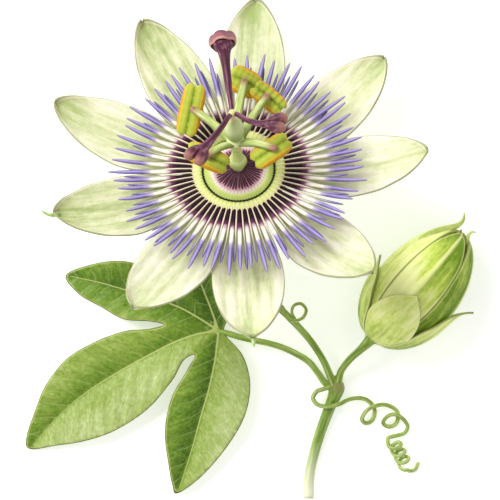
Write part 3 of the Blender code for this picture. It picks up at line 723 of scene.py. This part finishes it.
def corona_row(stations, first_direction, drift, ragged, chance):
    """One ring of filaments. They sway a little and differ a little in length."""
    strands = []
    for k in range(FILAMENT_COUNT):
        centre = radians(first_direction + 360 * k / FILAMENT_COUNT)
        stretch = 1 + chance.uniform(-ragged, 0.03) + 0.065 * max(sin(centre), 0) ** 2
        sway = radians(chance.uniform(-drift, drift))
        lift = chance.uniform(-0.12, 0.12)
        start = stations[0][0]
        route = []
        for radius, height, half_width, half_deep in stations:
            share = (radius - start) / (stations[-1][0] - start)
            radius = start + (radius - start) * stretch
            angle = centre + sway * share ** 2
            route.append((radius * cos(angle), radius * sin(angle), height + lift * share,
                          half_width, half_deep))
        strands.append(strap_rings(route, 10, 3, chance.random()))
    return strands


def filament_skin(name, bands, painted_shadows):
    """Corona flesh, banded by the distance from the filament's root, with a painted highlight
    along its crest and painted shade, in the painted shadow colours, along its sides."""
    made, add, place = new_finish(name, 0.65, 0.1)
    travel, across, seed = add("SeparateXYZ", [place]).outputs
    spot = add("TexCoord").outputs["Object"]
    mottle = add("TexNoise", {"Vector": spot, "Scale": 900.0, "Detail": 4.0, "Roughness": 0.6})
    ragged = add("MapRange", [mottle, 0.0, 1.0, -0.9, 0.9])
    own = add("MapRange", [seed, 0.0, 1.0, -0.35, 0.35])
    reach = add("Math", [add("Math", [travel, ragged]), own])
    reach = add("Math", [reach, 22.0], operation="DIVIDE")
    band = add("ValToRGB", [reach], bands)
    crest = add("Math", [across], operation="ABSOLUTE")
    # painted shade along the sides of each filament
    shade = add("MapRange", [crest, 0.5, 1.0, 0.0, 0.6])
    # painted highlight along the crest, only where the filament is white or violet
    crest = add("MapRange", [crest, 0.0, 0.6, 0.3, 0.0])
    outer = add("MapRange", [reach, 0.25, 0.35])
    crest = add("Math", [crest, outer], operation="MULTIPLY")
    pale = add("Mix", {0: crest, 6: band, 7: "E8E2F4"})
    painted_shade_colour = add("ValToRGB", [reach], painted_shadows)
    add("Mix", {0: shade, 6: pale, 7: painted_shade_colour}, feeds="Base Color")
    add("Bump", {"Height": mottle, "Strength": 0.4, "Distance": 0.06 * MM}, feeds="Normal")
    return made


chance = random.Random(7)
# Front corona flesh: matt, dark at the root, then white, then violet, with ragged joins.
front_skin = filament_skin("Front corona flesh",
                           [(0.0, "2A141E"), (0.2, "2C1422"), (0.265, "74395C"), (0.31, "DCC4C4"),
                            (0.345, "F5EFD8"), (0.48, "F0E9D4"), (0.535, "A897C4"), (0.6, "7664A8"),
                            (0.8, "8E7CBC"), (1.0, "9A88B0")],
                           # painted shade: colours painted along the filaments' sides, by distance from
                           # the root
                           [(0.0, "12060C"), (0.24, "1C0B14"), (0.32, "8A7468"), (0.5, "8F8468"),
                            (0.6, "4C3F86"), (1.0, "3E3368")])
settle(loft("corona_front_row", corona_row(FRONT_FILAMENT, 1.5, 1.9, 0.085, chance), face, front_skin),
       "corona_violet", "corona_outer_row")
# Back corona flesh: pale cream threads that end in violet. Their grey middle, and the colours
# along their sides, are painted shade where they show between the front filaments.
back_skin = filament_skin("Back corona flesh", [(0.0, "E6E4B4"), (0.06, "EADCC0"), (0.3, "EEE0CC"),
                                                (0.42, "D6D2B4"), (0.5, "A9AE8C"), (0.62, "A09AA8"),
                                                (0.72, "7060A2"), (0.84, "54448E")],
                          [(0.0, "A89C6C"), (0.34, "A8927C"), (0.6, "77786C"), (0.84, "43376E")])
settle(loft("corona_back_row", corona_row(BACK_FILAMENT, 4.5, 2.2, 0.12, chance), face, back_skin),
       "corona_white", "corona_second_row")

# ---- throat ----
# The rings inside the corona, all fleshy and grown together: a pale green ring with fine
# ticks, a thin black row of teeth, the pleated operculum and a dark fringe inside it.
THROAT_PROFILE = [(9.14, -1.2), (10.3, -1.3), (11.9, -1.2), (12.1, 0.1), (11.3, 0.5),
                  (10.2, 0.56), (9.4, 0.36), (9.14, 0.1)]
OPERCULUM_PROFILE = [(6.5, -1.4), (7.6, -1.5), (8.9, -1.4), (9.0, -0.1), (8.7, 0.22),
                     (7.8, 0.42), (6.9, 0.3), (6.5, 0.0)]
FRINGE_PROFILE = [(0.0, -1.5), (3.0, -1.5), (6.7, -1.4), (6.95, -0.2), (6.85, 0.36),
                  (6.45, 0.46), (5.9, 0.38), (5.0, 0.48), (3.4, 0.86), (2.1, 1.2),
                  (1.2, 1.3), (0.0, 1.3)]
TOOTH_COUNT = 90
FRINGE_COUNT = 48


def throat_droop(angle):
    """The rings of the throat hang a little wider on the flower's lower side."""
    return 1 + 0.05 * max(-sin(angle), 0.0) ** 1.5


def banded_skin(name, bands, ripple, rippled, roughness=0.5):
    """Fleshy ring banded by radius; the tops of its ripples take the ripple colour."""
    made, add, place = new_finish(name, roughness, 0.35)
    radius, _, crest = add("SeparateXYZ", [place]).outputs
    spot = add("TexCoord").outputs["Object"]
    mottle = add("TexNoise", {"Vector": spot, "Scale": 600.0, "Detail": 5.0, "Roughness": 0.6})
    ragged = add("MapRange", [mottle, 0.0, 1.0, -0.25, 0.25])
    reach = add("Math", [add("Math", [radius, ragged]), 12.0], operation="DIVIDE")
    band = add("ValToRGB", [reach], bands)
    crest = add("MapRange", [crest, 0.0, 0.05, 0.0, rippled])
    add("Mix", {0: crest, 6: band, 7: ripple}, feeds="Base Color")
    add("Bump", {"Height": mottle, "Strength": 0.4, "Distance": 0.05 * MM}, feeds="Normal")
    return made


# Throat ring flesh: yellow-green, with pale ticks along the tops of its ripples.
throat_skin = banded_skin("Throat ring flesh", [(0.775, "B0BE50"), (0.81, "D0DA7A"), (0.87, "DCE086"),
                                                (0.94, "D8D888"), (0.99, "B4A870")], "F4F2CC", 0.6)
settle(loft("throat_ring_flesh", [turned_rings(THROAT_PROFILE, 480, 3,
                                               lambda angle: 0.035 * cos(60 * angle), throat_droop)],
            face, throat_skin, True), "throat_yellow_green", "throat_ring")
# Blackened teeth: nearly black, so the ring of them looks like a line of stitches.
tooth_skin = plant_skin("Blackened teeth", "15110C", "1E1A14", "3A3226", (2.0, 2.0, 2.0))[0]
teeth = [turned_rings([(8.98, -0.25), (9.14, -0.25), (9.12, 0.22), (9.0, 0.22)], 120, 2,
                      None, throat_droop)]
for k in range(TOOTH_COUNT):
    angle = 2 * pi * k / TOOTH_COUNT
    out = Vector((cos(angle), sin(angle), 0)) * throat_droop(angle)
    teeth.append(strap_rings([(*(out * 8.94 + Vector((0, 0, 0.22))), 0.05, 0.05),
                              (*(out * 9.08 + Vector((0, 0, 0.3))), 0.12, 0.1),
                              (*(out * 9.36 + Vector((0, 0, 0.46))), 0.03, 0.03)], 6, 2))
settle(loft("black_tooth_row", teeth, face, tooth_skin), "toothed_black", "toothed_ring")
# Operculum flesh: bands of green, paling to a cream inner rim, finely pleated.
pleat_skin = banded_skin("Operculum flesh", [(0.565, "F6EFD2"), (0.6, "DFE69E"), (0.65, "C2D06A"),
                                             (0.7, "B0C254"), (0.745, "889C3A")], "F0F3BE", 0.3)
settle(loft("pleated_operculum", [turned_rings(OPERCULUM_PROFILE, 480, 3,
                                               lambda angle: 0.03 * cos(80 * angle), throat_droop)],
            face, pleat_skin, True), "operculum_green", "operculum")
# Fringe flesh: dark purple threads that end in rose and cream.
fringe_skin = banded_skin("Inner fringe flesh",
                          [(0.1, "54223C"), (0.3, "8A4060"), (0.44, "A65C7C"), (0.49, "CC93A4"),
                           (0.53, "F4DCD6"), (0.575, "FBF0E2")], "E3B4BE", 0.85)
fringe = [turned_rings(FRINGE_PROFILE, 288, 3, lambda angle: 0.05 * cos(48 * angle),
                       throat_droop)]
for k in range(FRINGE_COUNT):
    angle = 2 * pi * (k + 0.5) / FRINGE_COUNT + radians(chance.uniform(-1, 1))
    out = Vector((cos(angle), sin(angle), 0))
    end = chance.uniform(5.3, 5.9)
    route = [(*(out * 1.7), 0.1, 0.08), (*(out * 3.0), 0.15, 0.12), (*(out * 4.6), 0.24, 0.14),
             (*(out * end), 0.22, 0.12), (*(out * (end + 0.35)), 0.06, 0.05)]
    route = [(x, y, 1.38 - 0.2 * (sqrt(x * x + y * y) - 1.7) - 0.004 * (x * x + y * y),
              half, deep) for x, y, _, half, deep in route]
    fringe.append([[(point, (1.2, 0.0, -1.0)) for point, _ in ring]
                   for ring in strap_rings(route, 8, 3)])
settle(loft("inner_fringe_dome", fringe, face, fringe_skin), "fringe_purple", "inner_fringe")

# ---- column and ovary ----
# The firm green stalk in the middle of the flower, swollen at its foot, with the smooth
# egg-shaped ovary on top. Both stand in the column's own, further leaning frame.
COLUMN_PROFILE = [
    (0.0, -1.3), (1.45, -1.3), (1.5, 1.2), (2.1, 2.3), (2.3, 3.1), (2.1, 4.0), (1.6, 5.1),
    (1.3, 6.2), (1.25, 7.4), (1.4, 8.8), (1.8, 9.9), (2.15, 10.6), (2.15, 11.3), (1.9, 11.9),
    (0.0, 12.3),
]
OVARY_PROFILE = [
    (0.0, 11.6), (1.3, 11.9), (2.05, 12.8), (2.45, 14.0), (2.55, 15.1), (2.4, 16.3), (1.95, 17.5),
    (1.35, 18.6), (0.9, 19.3), (0.72, 19.7), (0.85, 20.2), (0.95, 20.8), (0.9, 21.4), (0.55, 21.8),
    (0.0, 21.9),
]
# Column flesh: waxy pale yellow-green, softly clouded.
column_skin = plant_skin("Column flesh", "B0C468", "DEE89A", "FAFAD4", (0.5, 0.5, 0.2))[0]
settle(loft("column_stalk", [turned_rings(COLUMN_PROFILE, 48, 4, None,
                                          lambda a: 1 + 0.03 * cos(5 * a))], column_axis, column_skin),
       "column_green", "column")
# Ovary skin: smooth, with a slight gloss and bloom; green below and cream at its top.
ovary_skin, add, place = new_finish("Ovary skin", 0.36, 0.5)
height = add("SeparateXYZ", [place]).outputs["Y"]
spot = add("TexCoord").outputs["Object"]
bloom = add("TexNoise", {"Vector": spot, "Scale": 420.0, "Detail": 5.0})
height = add("MapRange", [height, 11.6, 21.1])
soft = add("Math", [bloom, 0.12, height], operation="MULTIPLY_ADD")
add("ValToRGB", [soft], [(0.08, "86A252"), (0.3, "A8BC74"), (0.55, "CDD8A0"), (0.8, "C0CC84"),
                         (0.9, "E6DCA0"), (1.0, "DCCD90")], feeds="Base Color")
settle(loft("ovary_egg", [turned_rings(OVARY_PROFILE, 48, 5)], column_axis, ovary_skin), "ovary_green",
       "ovary")

# ---- stamens ----
# Five flat green straps arch out from the top of the column. An anther is slung under the tip
# of each: two yellow-green pollen lobes with orange edges, held by a small pinkish knob.
# direction of the foot, direction, reach and height of the tip
STAMENS = [
    (150.0, 136.0, 13.2, 14.0), (92.0, 77.0, 17.2, 14.0), (30.0, 50.0, 14.0, 14.0),
    (322.0, 324.0, 11.4, 14.0), (222.0, 223.0, 9.8, 14.0),
]
ANTHERS = [(13.6, 78.0), (8.4, -28.0), (9.8, -40.0), (10.8, 34.0), (11.4, -24.0)]
ANTHER_WIDTHS = [5.4, 6.6, 4.9, 5.5, 5.2]
ANTHER_DEPTH = 2.4
ANTHER_DROP = 2.4
# each anther's slip sideways from straight under the tip, across the surface
ANTHER_SLIPS = [(-0.9, 0.0), (0.3, 0.5), (0.8, 0.1), (-1.1, 0.0), (0.2, 0.2)]


def around(direction, reach, height):
    """A point of the column's frame from cylindrical measures."""
    return Vector((reach * cos(radians(direction)), reach * sin(radians(direction)), height))


# Stamen strap: pale green, with painted shade along its edges, and it blushes tan at its tip.
strap_skin, add, place, colour = plant_skin("Stamen strap", "8CA24C", "C3D07C", "F0F0BE",
                                            (0.12, 1.1, 3.0))
travel, across, _ = add("SeparateXYZ", [place]).outputs
painted_edge_shade = add("Math", [across], operation="ABSOLUTE")
painted_edge_shade = add("MapRange", [painted_edge_shade, 0.5, 1.0, 0.0, 0.8])
strap_colour = add("Mix", {0: painted_edge_shade, 6: colour, 7: "566E28"})
blush = add("MapRange", [travel, -2.4, -0.6, 0.0, 0.8])
add("Mix", {0: blush, 6: strap_colour, 7: "A07458"}, feeds="Base Color")
# Stamen tip: a small pinkish brown knob.
knob_skin = plant_skin("Stamen tip", "6E4032", "9A6A54", "C79E86", (1.5, 1.5, 1.5))[0]
# Pollen sacs: powdery yellow-green with orange edges. Pollen grains are 0.07 mm, too fine
# to show, so they are drawn about ten times as coarse.
anther_skin, add, place = new_finish("Anther pollen sacs", 0.62, 0.2)
across = add("SeparateXYZ", [place]).outputs["Y"]
spot = add("TexCoord").outputs["Object"]
grains = add("TexNoise", {"Vector": spot, "Scale": 1500.0, "Detail": 5.0, "Roughness": 0.7})
edge = add("Math", [grains, 0.3, across], operation="MULTIPLY_ADD")
add("ValToRGB", [edge], [(0.13, "5F7A1E"), (0.24, "96A830"), (0.52, "B9C24A"), (0.8, "B2B438"),
                         (0.93, "DABA36"), (1.0, "CE961C")], feeds="Base Color")
add("Bump", {"Height": grains, "Strength": 0.8, "Distance": 0.12 * MM}, feeds="Normal")
sprig_column = ground.inverted() @ column_axis
column_up = sprig_column.to_3x3() @ Vector((0, 0, 1))
for number, (foot_direction, direction, reach, height) in enumerate(STAMENS, start=1):
    foot = around(foot_direction, 1.6, 10.9)
    tip = around(direction, reach, height)
    route = []
    for share, lift, half in ((0, 0, 1.2), (0.2, 0.34, 1.25), (0.45, 0.68, 1.12),
                              (0.7, 0.9, 1.02), (1, 1, 0.9)):
        spot = foot.lerp(tip, share)
        spot.z = foot.z + (tip.z - foot.z) * lift
        route.append((*spot, half * 1.06, 0.6))
    rings = strap_rings(route, 14, 6)
    whole = rings[-1][0][1][0]
    rings = [[(point, (spot[0] - whole, spot[1], number * 3.1)) for point, spot in ring]
             for ring in rings]
    settle(loft(f"stamen_strap_{number}", [rings], column_axis, strap_skin), "filament_green",
           f"stamen_filament_{number}")

    length, heading = ANTHERS[number - 1]
    long_way = Vector((cos(radians(heading)), sin(radians(heading)), 0))
    upward = column_up * 0.5 + Vector((0, 0, 0.5))
    upward = (upward - long_way * upward.dot(long_way)).normalized()
    turn = Matrix((long_way, upward.cross(long_way), upward)).transposed().to_4x4()
    slip = Vector((*ANTHER_SLIPS[number - 1], 0))
    hung = sprig_column @ (tip * MM) + (slip - upward * ANTHER_DROP) * MM
    anther_frame = ground @ Matrix.Translation(hung) @ turn
    lobes = []
    width = ANTHER_WIDTHS[number - 1]
    for side in (-1, 1):
        route = []
        for station in range(19):
            share = 2 * station / 18 - 1
            plump = max(1 - abs(share) ** 3.5, 0.0) ** 0.5
            wave = (0.02 if number != 3 else 0.06) * sin(station * 2.1 + side + number)
            middle = side * (width * 0.21 + 0.1 * share ** 2)
            route.append((share * length / 2, middle + wave * 0.6, 0.12 * wave,
                          max(width * 0.34 * plump * (1 + wave), 0.06),
                          max(ANTHER_DEPTH * 0.48 * plump * (1 + 3 * wave), 0.05)))
        rings = []
        for ring in strap_rings(route, 20, 2):
            rings.append([(point, (spot[0],
                                   max(abs(point.y) / (width * 0.54),
                                       abs(2 * point.x / length) ** 8), spot[1]))
                          for point, spot in ring])
        lobes.append(rings)
    settle(loft(f"anther_sacs_{number}", lobes, anther_frame, anther_skin), "anther_yellow_green",
           f"anther_{number}")
    knob_rings = turned_rings([(0.0, -0.8), (0.55, -0.7), (0.85, -0.2), (0.8, 0.3),
                               (0.45, 0.62), (0.0, 0.7)], 20)
    settle(loft(f"stamen_tip_{number}", [knob_rings], column_axis @ Matrix.Translation(tip * MM),
                knob_skin), "filament_green")

# ---- styles and stigmas ----
# Three maroon styles spread from a small yellow knob on the ovary and thicken outward; each
# ends in a rose-tan stigma, one a round cap and two split into a pair of lobes.
STYLES = [
    [(91, 0.2, 20.8, 0.5), (91, 1.5, 21.3, 0.6), (91, 5.0, 23.0, 0.74), (91, 8.0, 24.5, 0.98),
     (91, 11.4, 26.2, 1.12), (91, 14.3, 27.6, 1.62), (91, 16.2, 28.6, 2.7)],
    [(335, 0.2, 20.8, 0.5), (330, 1.5, 21.1, 0.62), (318, 4.9, 21.3, 0.68),
     (321, 8.5, 21.9, 0.88), (326, 10.6, 22.3, 1.25)],
    [(231, 0.2, 20.8, 0.5), (232, 1.5, 21.1, 0.62), (235, 5.2, 21.0, 0.74),
     (234, 9.6, 20.9, 0.9), (232, 13.4, 20.7, 1.35)],
]
ROUND_CAP = [(0.0, 0.9), (1.7, 0.7), (2.45, 0.0), (2.72, -0.65), (2.98, -0.75),
             (3.22, -0.25), (3.28, 0.5), (3.1, 1.5), (2.6, 2.3), (1.7, 2.8), (0.8, 2.8),
             (0.0, 2.3)]
# the round cap nods away from above, showing its hollow side and pale lip
CAP_NOD = radians(24)
# along and away from the style's end, and the half width of one lobe
SPLIT_LOBE = [(-1.6, 0.45, 0.6), (-0.4, 0.75, 1.05), (0.8, 1.15, 1.42), (2.0, 1.48, 1.5),
              (3.1, 1.68, 1.3), (3.8, 1.78, 0.8), (4.0, 1.78, 0.15)]
# Style flesh: dark maroon with rosy streaks along it.
style_skin = plant_skin("Style flesh", "340C1A", "58203A", "A87088", (0.1, 1.2, 1.2))[0]
# Split stigma flesh: maroon, turning tan toward its ends.
stigma_skin, add, place, colour = plant_skin("Split stigma flesh", "3A0E1A", "642C40", "AC7A88",
                                             (0.45, 1.1, 1.1), 0.45, 0.2)
travel = add("SeparateXYZ", [place])
tan_ends = add("MapRange", [travel, 3.8, 5.4])
add("Mix", {0: tan_ends, 6: colour, 7: "9E6A5C"}, feeds="Base Color")
# Round stigma flesh: rosy brown, with a tan lip and painted shade in the hollow under it.
cap_skin, add, place, colour = plant_skin("Round stigma flesh", "54202C", "7C4050", "AE767C",
                                          (0.5, 0.5, 0.5), 0.5, 0.2)
radius, height, _ = add("SeparateXYZ", [place]).outputs
lipped = add("MapRange", [height, 0.0, -0.6])
lip = add("Mix", {0: lipped, 6: colour, 7: "BE8C7E"})
painted_hollow_shade = add("MapRange", [radius, 2.85, 2.6])
low_side = add("MapRange", [height, 1.5, 1.0])
painted_hollow_shade = add("Math", [painted_hollow_shade, low_side], operation="MULTIPLY")
add("Mix", {0: painted_hollow_shade, 6: lip, 7: "3A1020"}, feeds="Base Color")
for number, stations in enumerate(STYLES, start=1):
    points = [around(*station[:3]) for station in stations]
    route = [(*point, station[3]) for point, station in zip(points, stations)]
    settle(loft(f"maroon_style_{number}", [tube_rings(route, 18, 5)], column_axis, style_skin),
           "style_maroon", f"style_{number}")
    heading = (points[-1] - points[-2]).normalized()
    end = points[-1] + heading * 0.35
    sideways = Vector((0, 0, 1)).cross(heading).normalized()
    turn = Matrix((sideways, heading.cross(sideways), heading)).transposed().to_4x4()
    cap_frame = column_axis @ Matrix.Translation(end * MM) @ turn
    if number == 1:
        cap_frame = cap_frame @ Matrix.Rotation(CAP_NOD, 4, "X")
        strands = [turned_rings(ROUND_CAP, 60, 4, lambda a: 0.22 * cos(2 * a) + 0.12 * cos(5 * a),
                                lambda a: 1 + 0.07 * cos(4 * a + 0.5) + 0.03 * cos(7 * a))]
    else:
        strands = []
        for side in (-1, 1):
            route = [(side * out, 0.0, along, half) for along, out, half in SPLIT_LOBE]
            strands.append(tube_rings(route, 24, 5, None, (False, False)))
    settle(loft(f"stigma_cap_{number}", strands, cap_frame, cap_skin if number == 1 else stigma_skin),
           "stigma_rose", f"stigma_{number}")

# ---- bud ----
# A closed bud: five fleshy sepals folded over each other, each with a raised keel and a pale
# margin, ending in small horns; three leafy bracts are fixed round its foot.
BUD_FOOT = Vector((33.7, -42.4, 10.1))
BUD_HEADING = radians(48.8)
BUD_LENGTH = 35.0
BUD_RADIUS = 10.2
BUD_WIDEST = 0.47
BUD_ENDS = 0.8
BUD_SHELL = 0.9
BUD_SWELL = 1.0
BUD_KEEL = 0.75
BUD_GAP = 0.02
bud_axis = ground @ Matrix.Translation(BUD_FOOT * MM) @ Matrix.Rotation(BUD_HEADING, 4, "Z")


def bulge(u, angle):
    """How far the bud swells beyond a round one on its right side."""
    return BUD_SWELL * max(-cos(angle), 0.0) ** 2 * sin(pi * min(max(u, 0.0), 1.0)) ** 0.4


def bud_radius(u):
    """Outer radius of the closed bud at a share u of its length."""
    span = BUD_WIDEST if u < BUD_WIDEST else 1 - BUD_WIDEST
    off = (u - BUD_WIDEST) / span
    return BUD_ENDS + (BUD_RADIUS - BUD_ENDS) * max(1 - off ** 2, 0) ** 0.55


def bud_surface(roll, parted):
    """One bud sepal: a shell with a keel along its middle, its edges rolled a little out.
    The keels underneath are pressed flat, where the bud lies on them. parted is how far its
    two edges draw back from their neighbours at the top."""
    pressed = 0.0 if sin(radians(roll)) < -0.5 else 1.0

    def surface(u, v):
        radius = bud_radius(u) - BUD_SHELL / 2
        opening = parted[v > 0] * max(u - 0.8, 0) ** 1.3 / 0.12
        half_angle = radians(36) - (BUD_GAP + opening) / radius
        keel = BUD_KEEL * exp(-abs(v) * 6) * sin(pi * min(u * 1.02, 1)) * pressed
        seam = 0.12 * abs(v) ** 14 * sin(pi * u) ** 0.5 * pressed
        furrow = 0.07 * cos(v * 17) * sin(pi * u) * pressed
        angle = radians(roll) + half_angle * v
        spot = radius + keel + seam + furrow + bulge(u, angle)
        point = Vector((BUD_LENGTH * u, spot * cos(angle), spot * sin(angle)))
        return point, (u, radius * half_angle * v, radius * half_angle * (1 - abs(v)))

    return surface


# Bud sepal flesh: firm yellow-green, streaked, with a pale line along the keel.
# painted shade of each sepal, as its tint and its painted_side_shade, from the sunlit front
# one round to the left one: deeper on the right and underside sepals, away from the light
BUD_PAINTED_SHADES = [(0.2, (-0.08, 0.09)), (0.6, (0.1, 0.2)), (0.75, (0.1, 0.1)),
              (0.65, (0.1, 0.1)), (0.1, (0.04, -0.04))]
BUD_PARTED = [(0.7, 1.0), (1.0, 0.0), (0.0, 0.0), (0.0, 0.0), (0.0, 0.4)]
for number, (tint, painted_side_shade) in enumerate(BUD_PAINTED_SHADES, start=1):
    skin = tepal_skin(f"Bud sepal flesh {number}", "EFF2A8", "C4D65C", "6E9014", "98A84E", tint,
                      painted_side_shade, 0.75, 0.4, (-0.22, 0.38) if number == 1 else (0.12, 0.14),
                      0.52 if number == 1 else 0.76)
    settle(blade(f"bud_sepal_shell_{number}", bud_surface(72 * number + 19, BUD_PARTED[number - 1]),
                 (72, 48), BUD_SHELL, bud_axis, skin), "bud_green", f"bud_sepal_{number}")

# Folded petals fill the bud; they show tan in the gaps between the sepals at the top.
core_skin = plant_skin("Folded petal tips", "6C6A2C", "A8A258", "D8D090", (2.0, 2.0, 2.0))[0]
core_profile = []
for station in range(19):
    share = 0.04 + 0.92 * station / 18
    core_profile.append((max(bud_radius(share) - 1.25, 0.05), BUD_LENGTH * share))
core_turn = Matrix.Rotation(radians(90), 4, "Y")
settle(loft("folded_bud_petals", [turned_rings(core_profile, 40, 1)], bud_axis @ core_turn, core_skin),
       "bud_green")

# The sepals' own horns: a long curved one on the left, a short brown-tipped one on the front
# one and a small hook on the right one.
HORNS = [
    [(44.0, -20.3, 14.2, 0.6, 0.4), (46.8, -17.4, 14.0, 1.1, 0.6),
     (49.8, -15.8, 13.6, 1.25, 0.65), (52.8, -14.7, 12.9, 1.0, 0.5),
     (55.2, -13.9, 12.2, 0.7, 0.42), (56.6, -12.9, 11.8, 0.48, 0.34),
     (57.1, -11.5, 11.9, 0.28, 0.22), (57.05, -10.4, 12.0, 0.05, 0.05)],
    [(54.0, -18.2, 13.0, 0.9, 0.5), (55.4, -16.2, 12.7, 0.55, 0.36),
     (56.2, -15.2, 12.6, 0.24, 0.2), (56.5, -14.8, 12.6, 0.05, 0.05)],
    [(57.0, -20.2, 11.4, 1.0, 0.5), (57.8, -17.6, 11.3, 0.62, 0.38),
     (58.3, -16.2, 11.2, 0.42, 0.28), (59.2, -15.5, 11.3, 0.28, 0.18),
     (60.2, -15.6, 11.3, 0.08, 0.08)],
]
# Horn flesh: yellow-green; the short one is withered brown at its tip.
horn_skin, add, place, colour = plant_skin("Bud horn flesh", "8FA844", "BCCB66", "DDE49C",
                                           (0.3, 1.2, 1.2))
travel, _, seed = add("SeparateXYZ", [place]).outputs
withered = add("MapRange", [travel, 2.6, 3.6])
short_horn = add("Math", [seed, withered], operation="MULTIPLY")
add("Mix", {0: short_horn, 6: colour, 7: "8A6A3A"}, feeds="Base Color")
for number, route in enumerate(HORNS, start=1):
    settle(loft(f"bud_horn_{number}", [strap_rings(route, 14, 5, 1.0 if number == 2 else 0.0)], ground,
                horn_skin), "bud_green")


def bud_bract_surface(direction, length, half, stand_off):
    """A bract that clasps the bud; its tip stands off by the last measure."""
    def surface(u, v):
        along = -0.4 + length * u
        share = max(along, 0) / BUD_LENGTH
        clear = bud_radius(share) + 0.85 + stand_off * u ** 10
        width = 0.5 + (half + 0.4) * sin(pi * u ** 0.8) ** 0.8
        width = width * (1 - u ** 12) + 0.05
        angle = radians(direction) + v * width / clear
        clear += bulge(share, angle)
        clear += 0.35 * exp(-abs(v) * 6) * sin(pi * u) + 0.12 * sin(u * 17 + direction) * v * v
        point = Vector((along, clear * cos(angle), clear * sin(angle)))
        return point, (u, v * width, (1 - abs(v)) * width)

    return surface


# Bud bract tissue: paler and more leafy than the sepals, with a faint pale midrib.
# direction, length, half width and how far the tip stands off, then the tint of each; the
# right one's deeper tint is painted shade, on the side of the bud that turns from the light
BRACTS = [((96.0, 16.0, 5.9, 0.3), 0.2), ((180.0, 22.2, 5.5, 3.6), 0.62),
          ((5.0, 17.8, 5.2, 1.3), 0.32)]
for number, (measures, tint) in enumerate(BRACTS, start=1):
    leafy_skin = tepal_skin(f"Bud bract tissue {number}", "F6F6AE", "D4E278", "839F34", "7E8C3C", tint,
                            keel=0.3)
    settle(blade(f"leafy_bud_bract_{number}", bud_bract_surface(*measures), (48, 28), BRACT_THICKNESS,
                 bud_axis, leafy_skin), "bud_bract_green", f"bud_bract_{number}")

# ---- stage ----
# A plain pale sheet of board under the sprig, one big soft light above and to the left, and
# an even pale surround.
BOARD_HALF = 3000.0
board_skin = new_finish("Pale matt board", 0.9, 0.0)[0]
card = board_skin.node_tree.nodes["Principled BSDF"]
card.inputs["Base Color"].default_value = to_linear("FDFDFC")
card.inputs["Emission Color"].default_value = to_linear("FFFFFF")
card.inputs["Emission Strength"].default_value = 0.44
corners = [(x * BOARD_HALF, y * BOARD_HALF, 0) for x, y in ((-1, -1), (1, -1), (1, 1), (-1, 1))]
board = make_piece("board", corners, (0.0,) * 12, [(0, 1, 2, 3)], Matrix.Identity(4), board_skin)
surround = bpy.data.worlds.new("pale surround")
bpy.context.scene.world = surround
surround.use_nodes = True
sky = surround.node_tree.nodes["Background"]
sky.inputs["Color"].default_value = (1.0, 1.0, 1.0, 1.0)
sky.inputs["Strength"].default_value = 0.58


def soft_light(name, place, size, watts):
    """A square area light aimed at the sprig."""
    lamp = bpy.data.lights.new(name, "AREA")
    lamp.size = size
    lamp.energy = watts
    lit = bpy.data.objects.new(name, lamp)
    lit.location = place
    lit.rotation_euler = Vector(place).to_track_quat("Z", "Y").to_euler()
    bpy.context.scene.collection.objects.link(lit)


soft_light("window light", (-0.55, 0.45, 0.75), 0.5, 9.5)

# The view is straight down onto the board.
LENS = 280.8
CAMERA_HEIGHT = 1.0
camera = bpy.data.objects.new("camera", bpy.data.cameras.new("camera"))
camera.data.type = "PERSP"
camera.data.sensor_width = 36.0
camera.data.lens = LENS
camera.location = (0.5 * MM, -0.4 * MM, CAMERA_HEIGHT)
bpy.context.scene.collection.objects.link(camera)
bpy.context.scene.camera = camera
bpy.context.scene.view_settings.view_transform = "Standard"

bpy.context.view_layer.update()
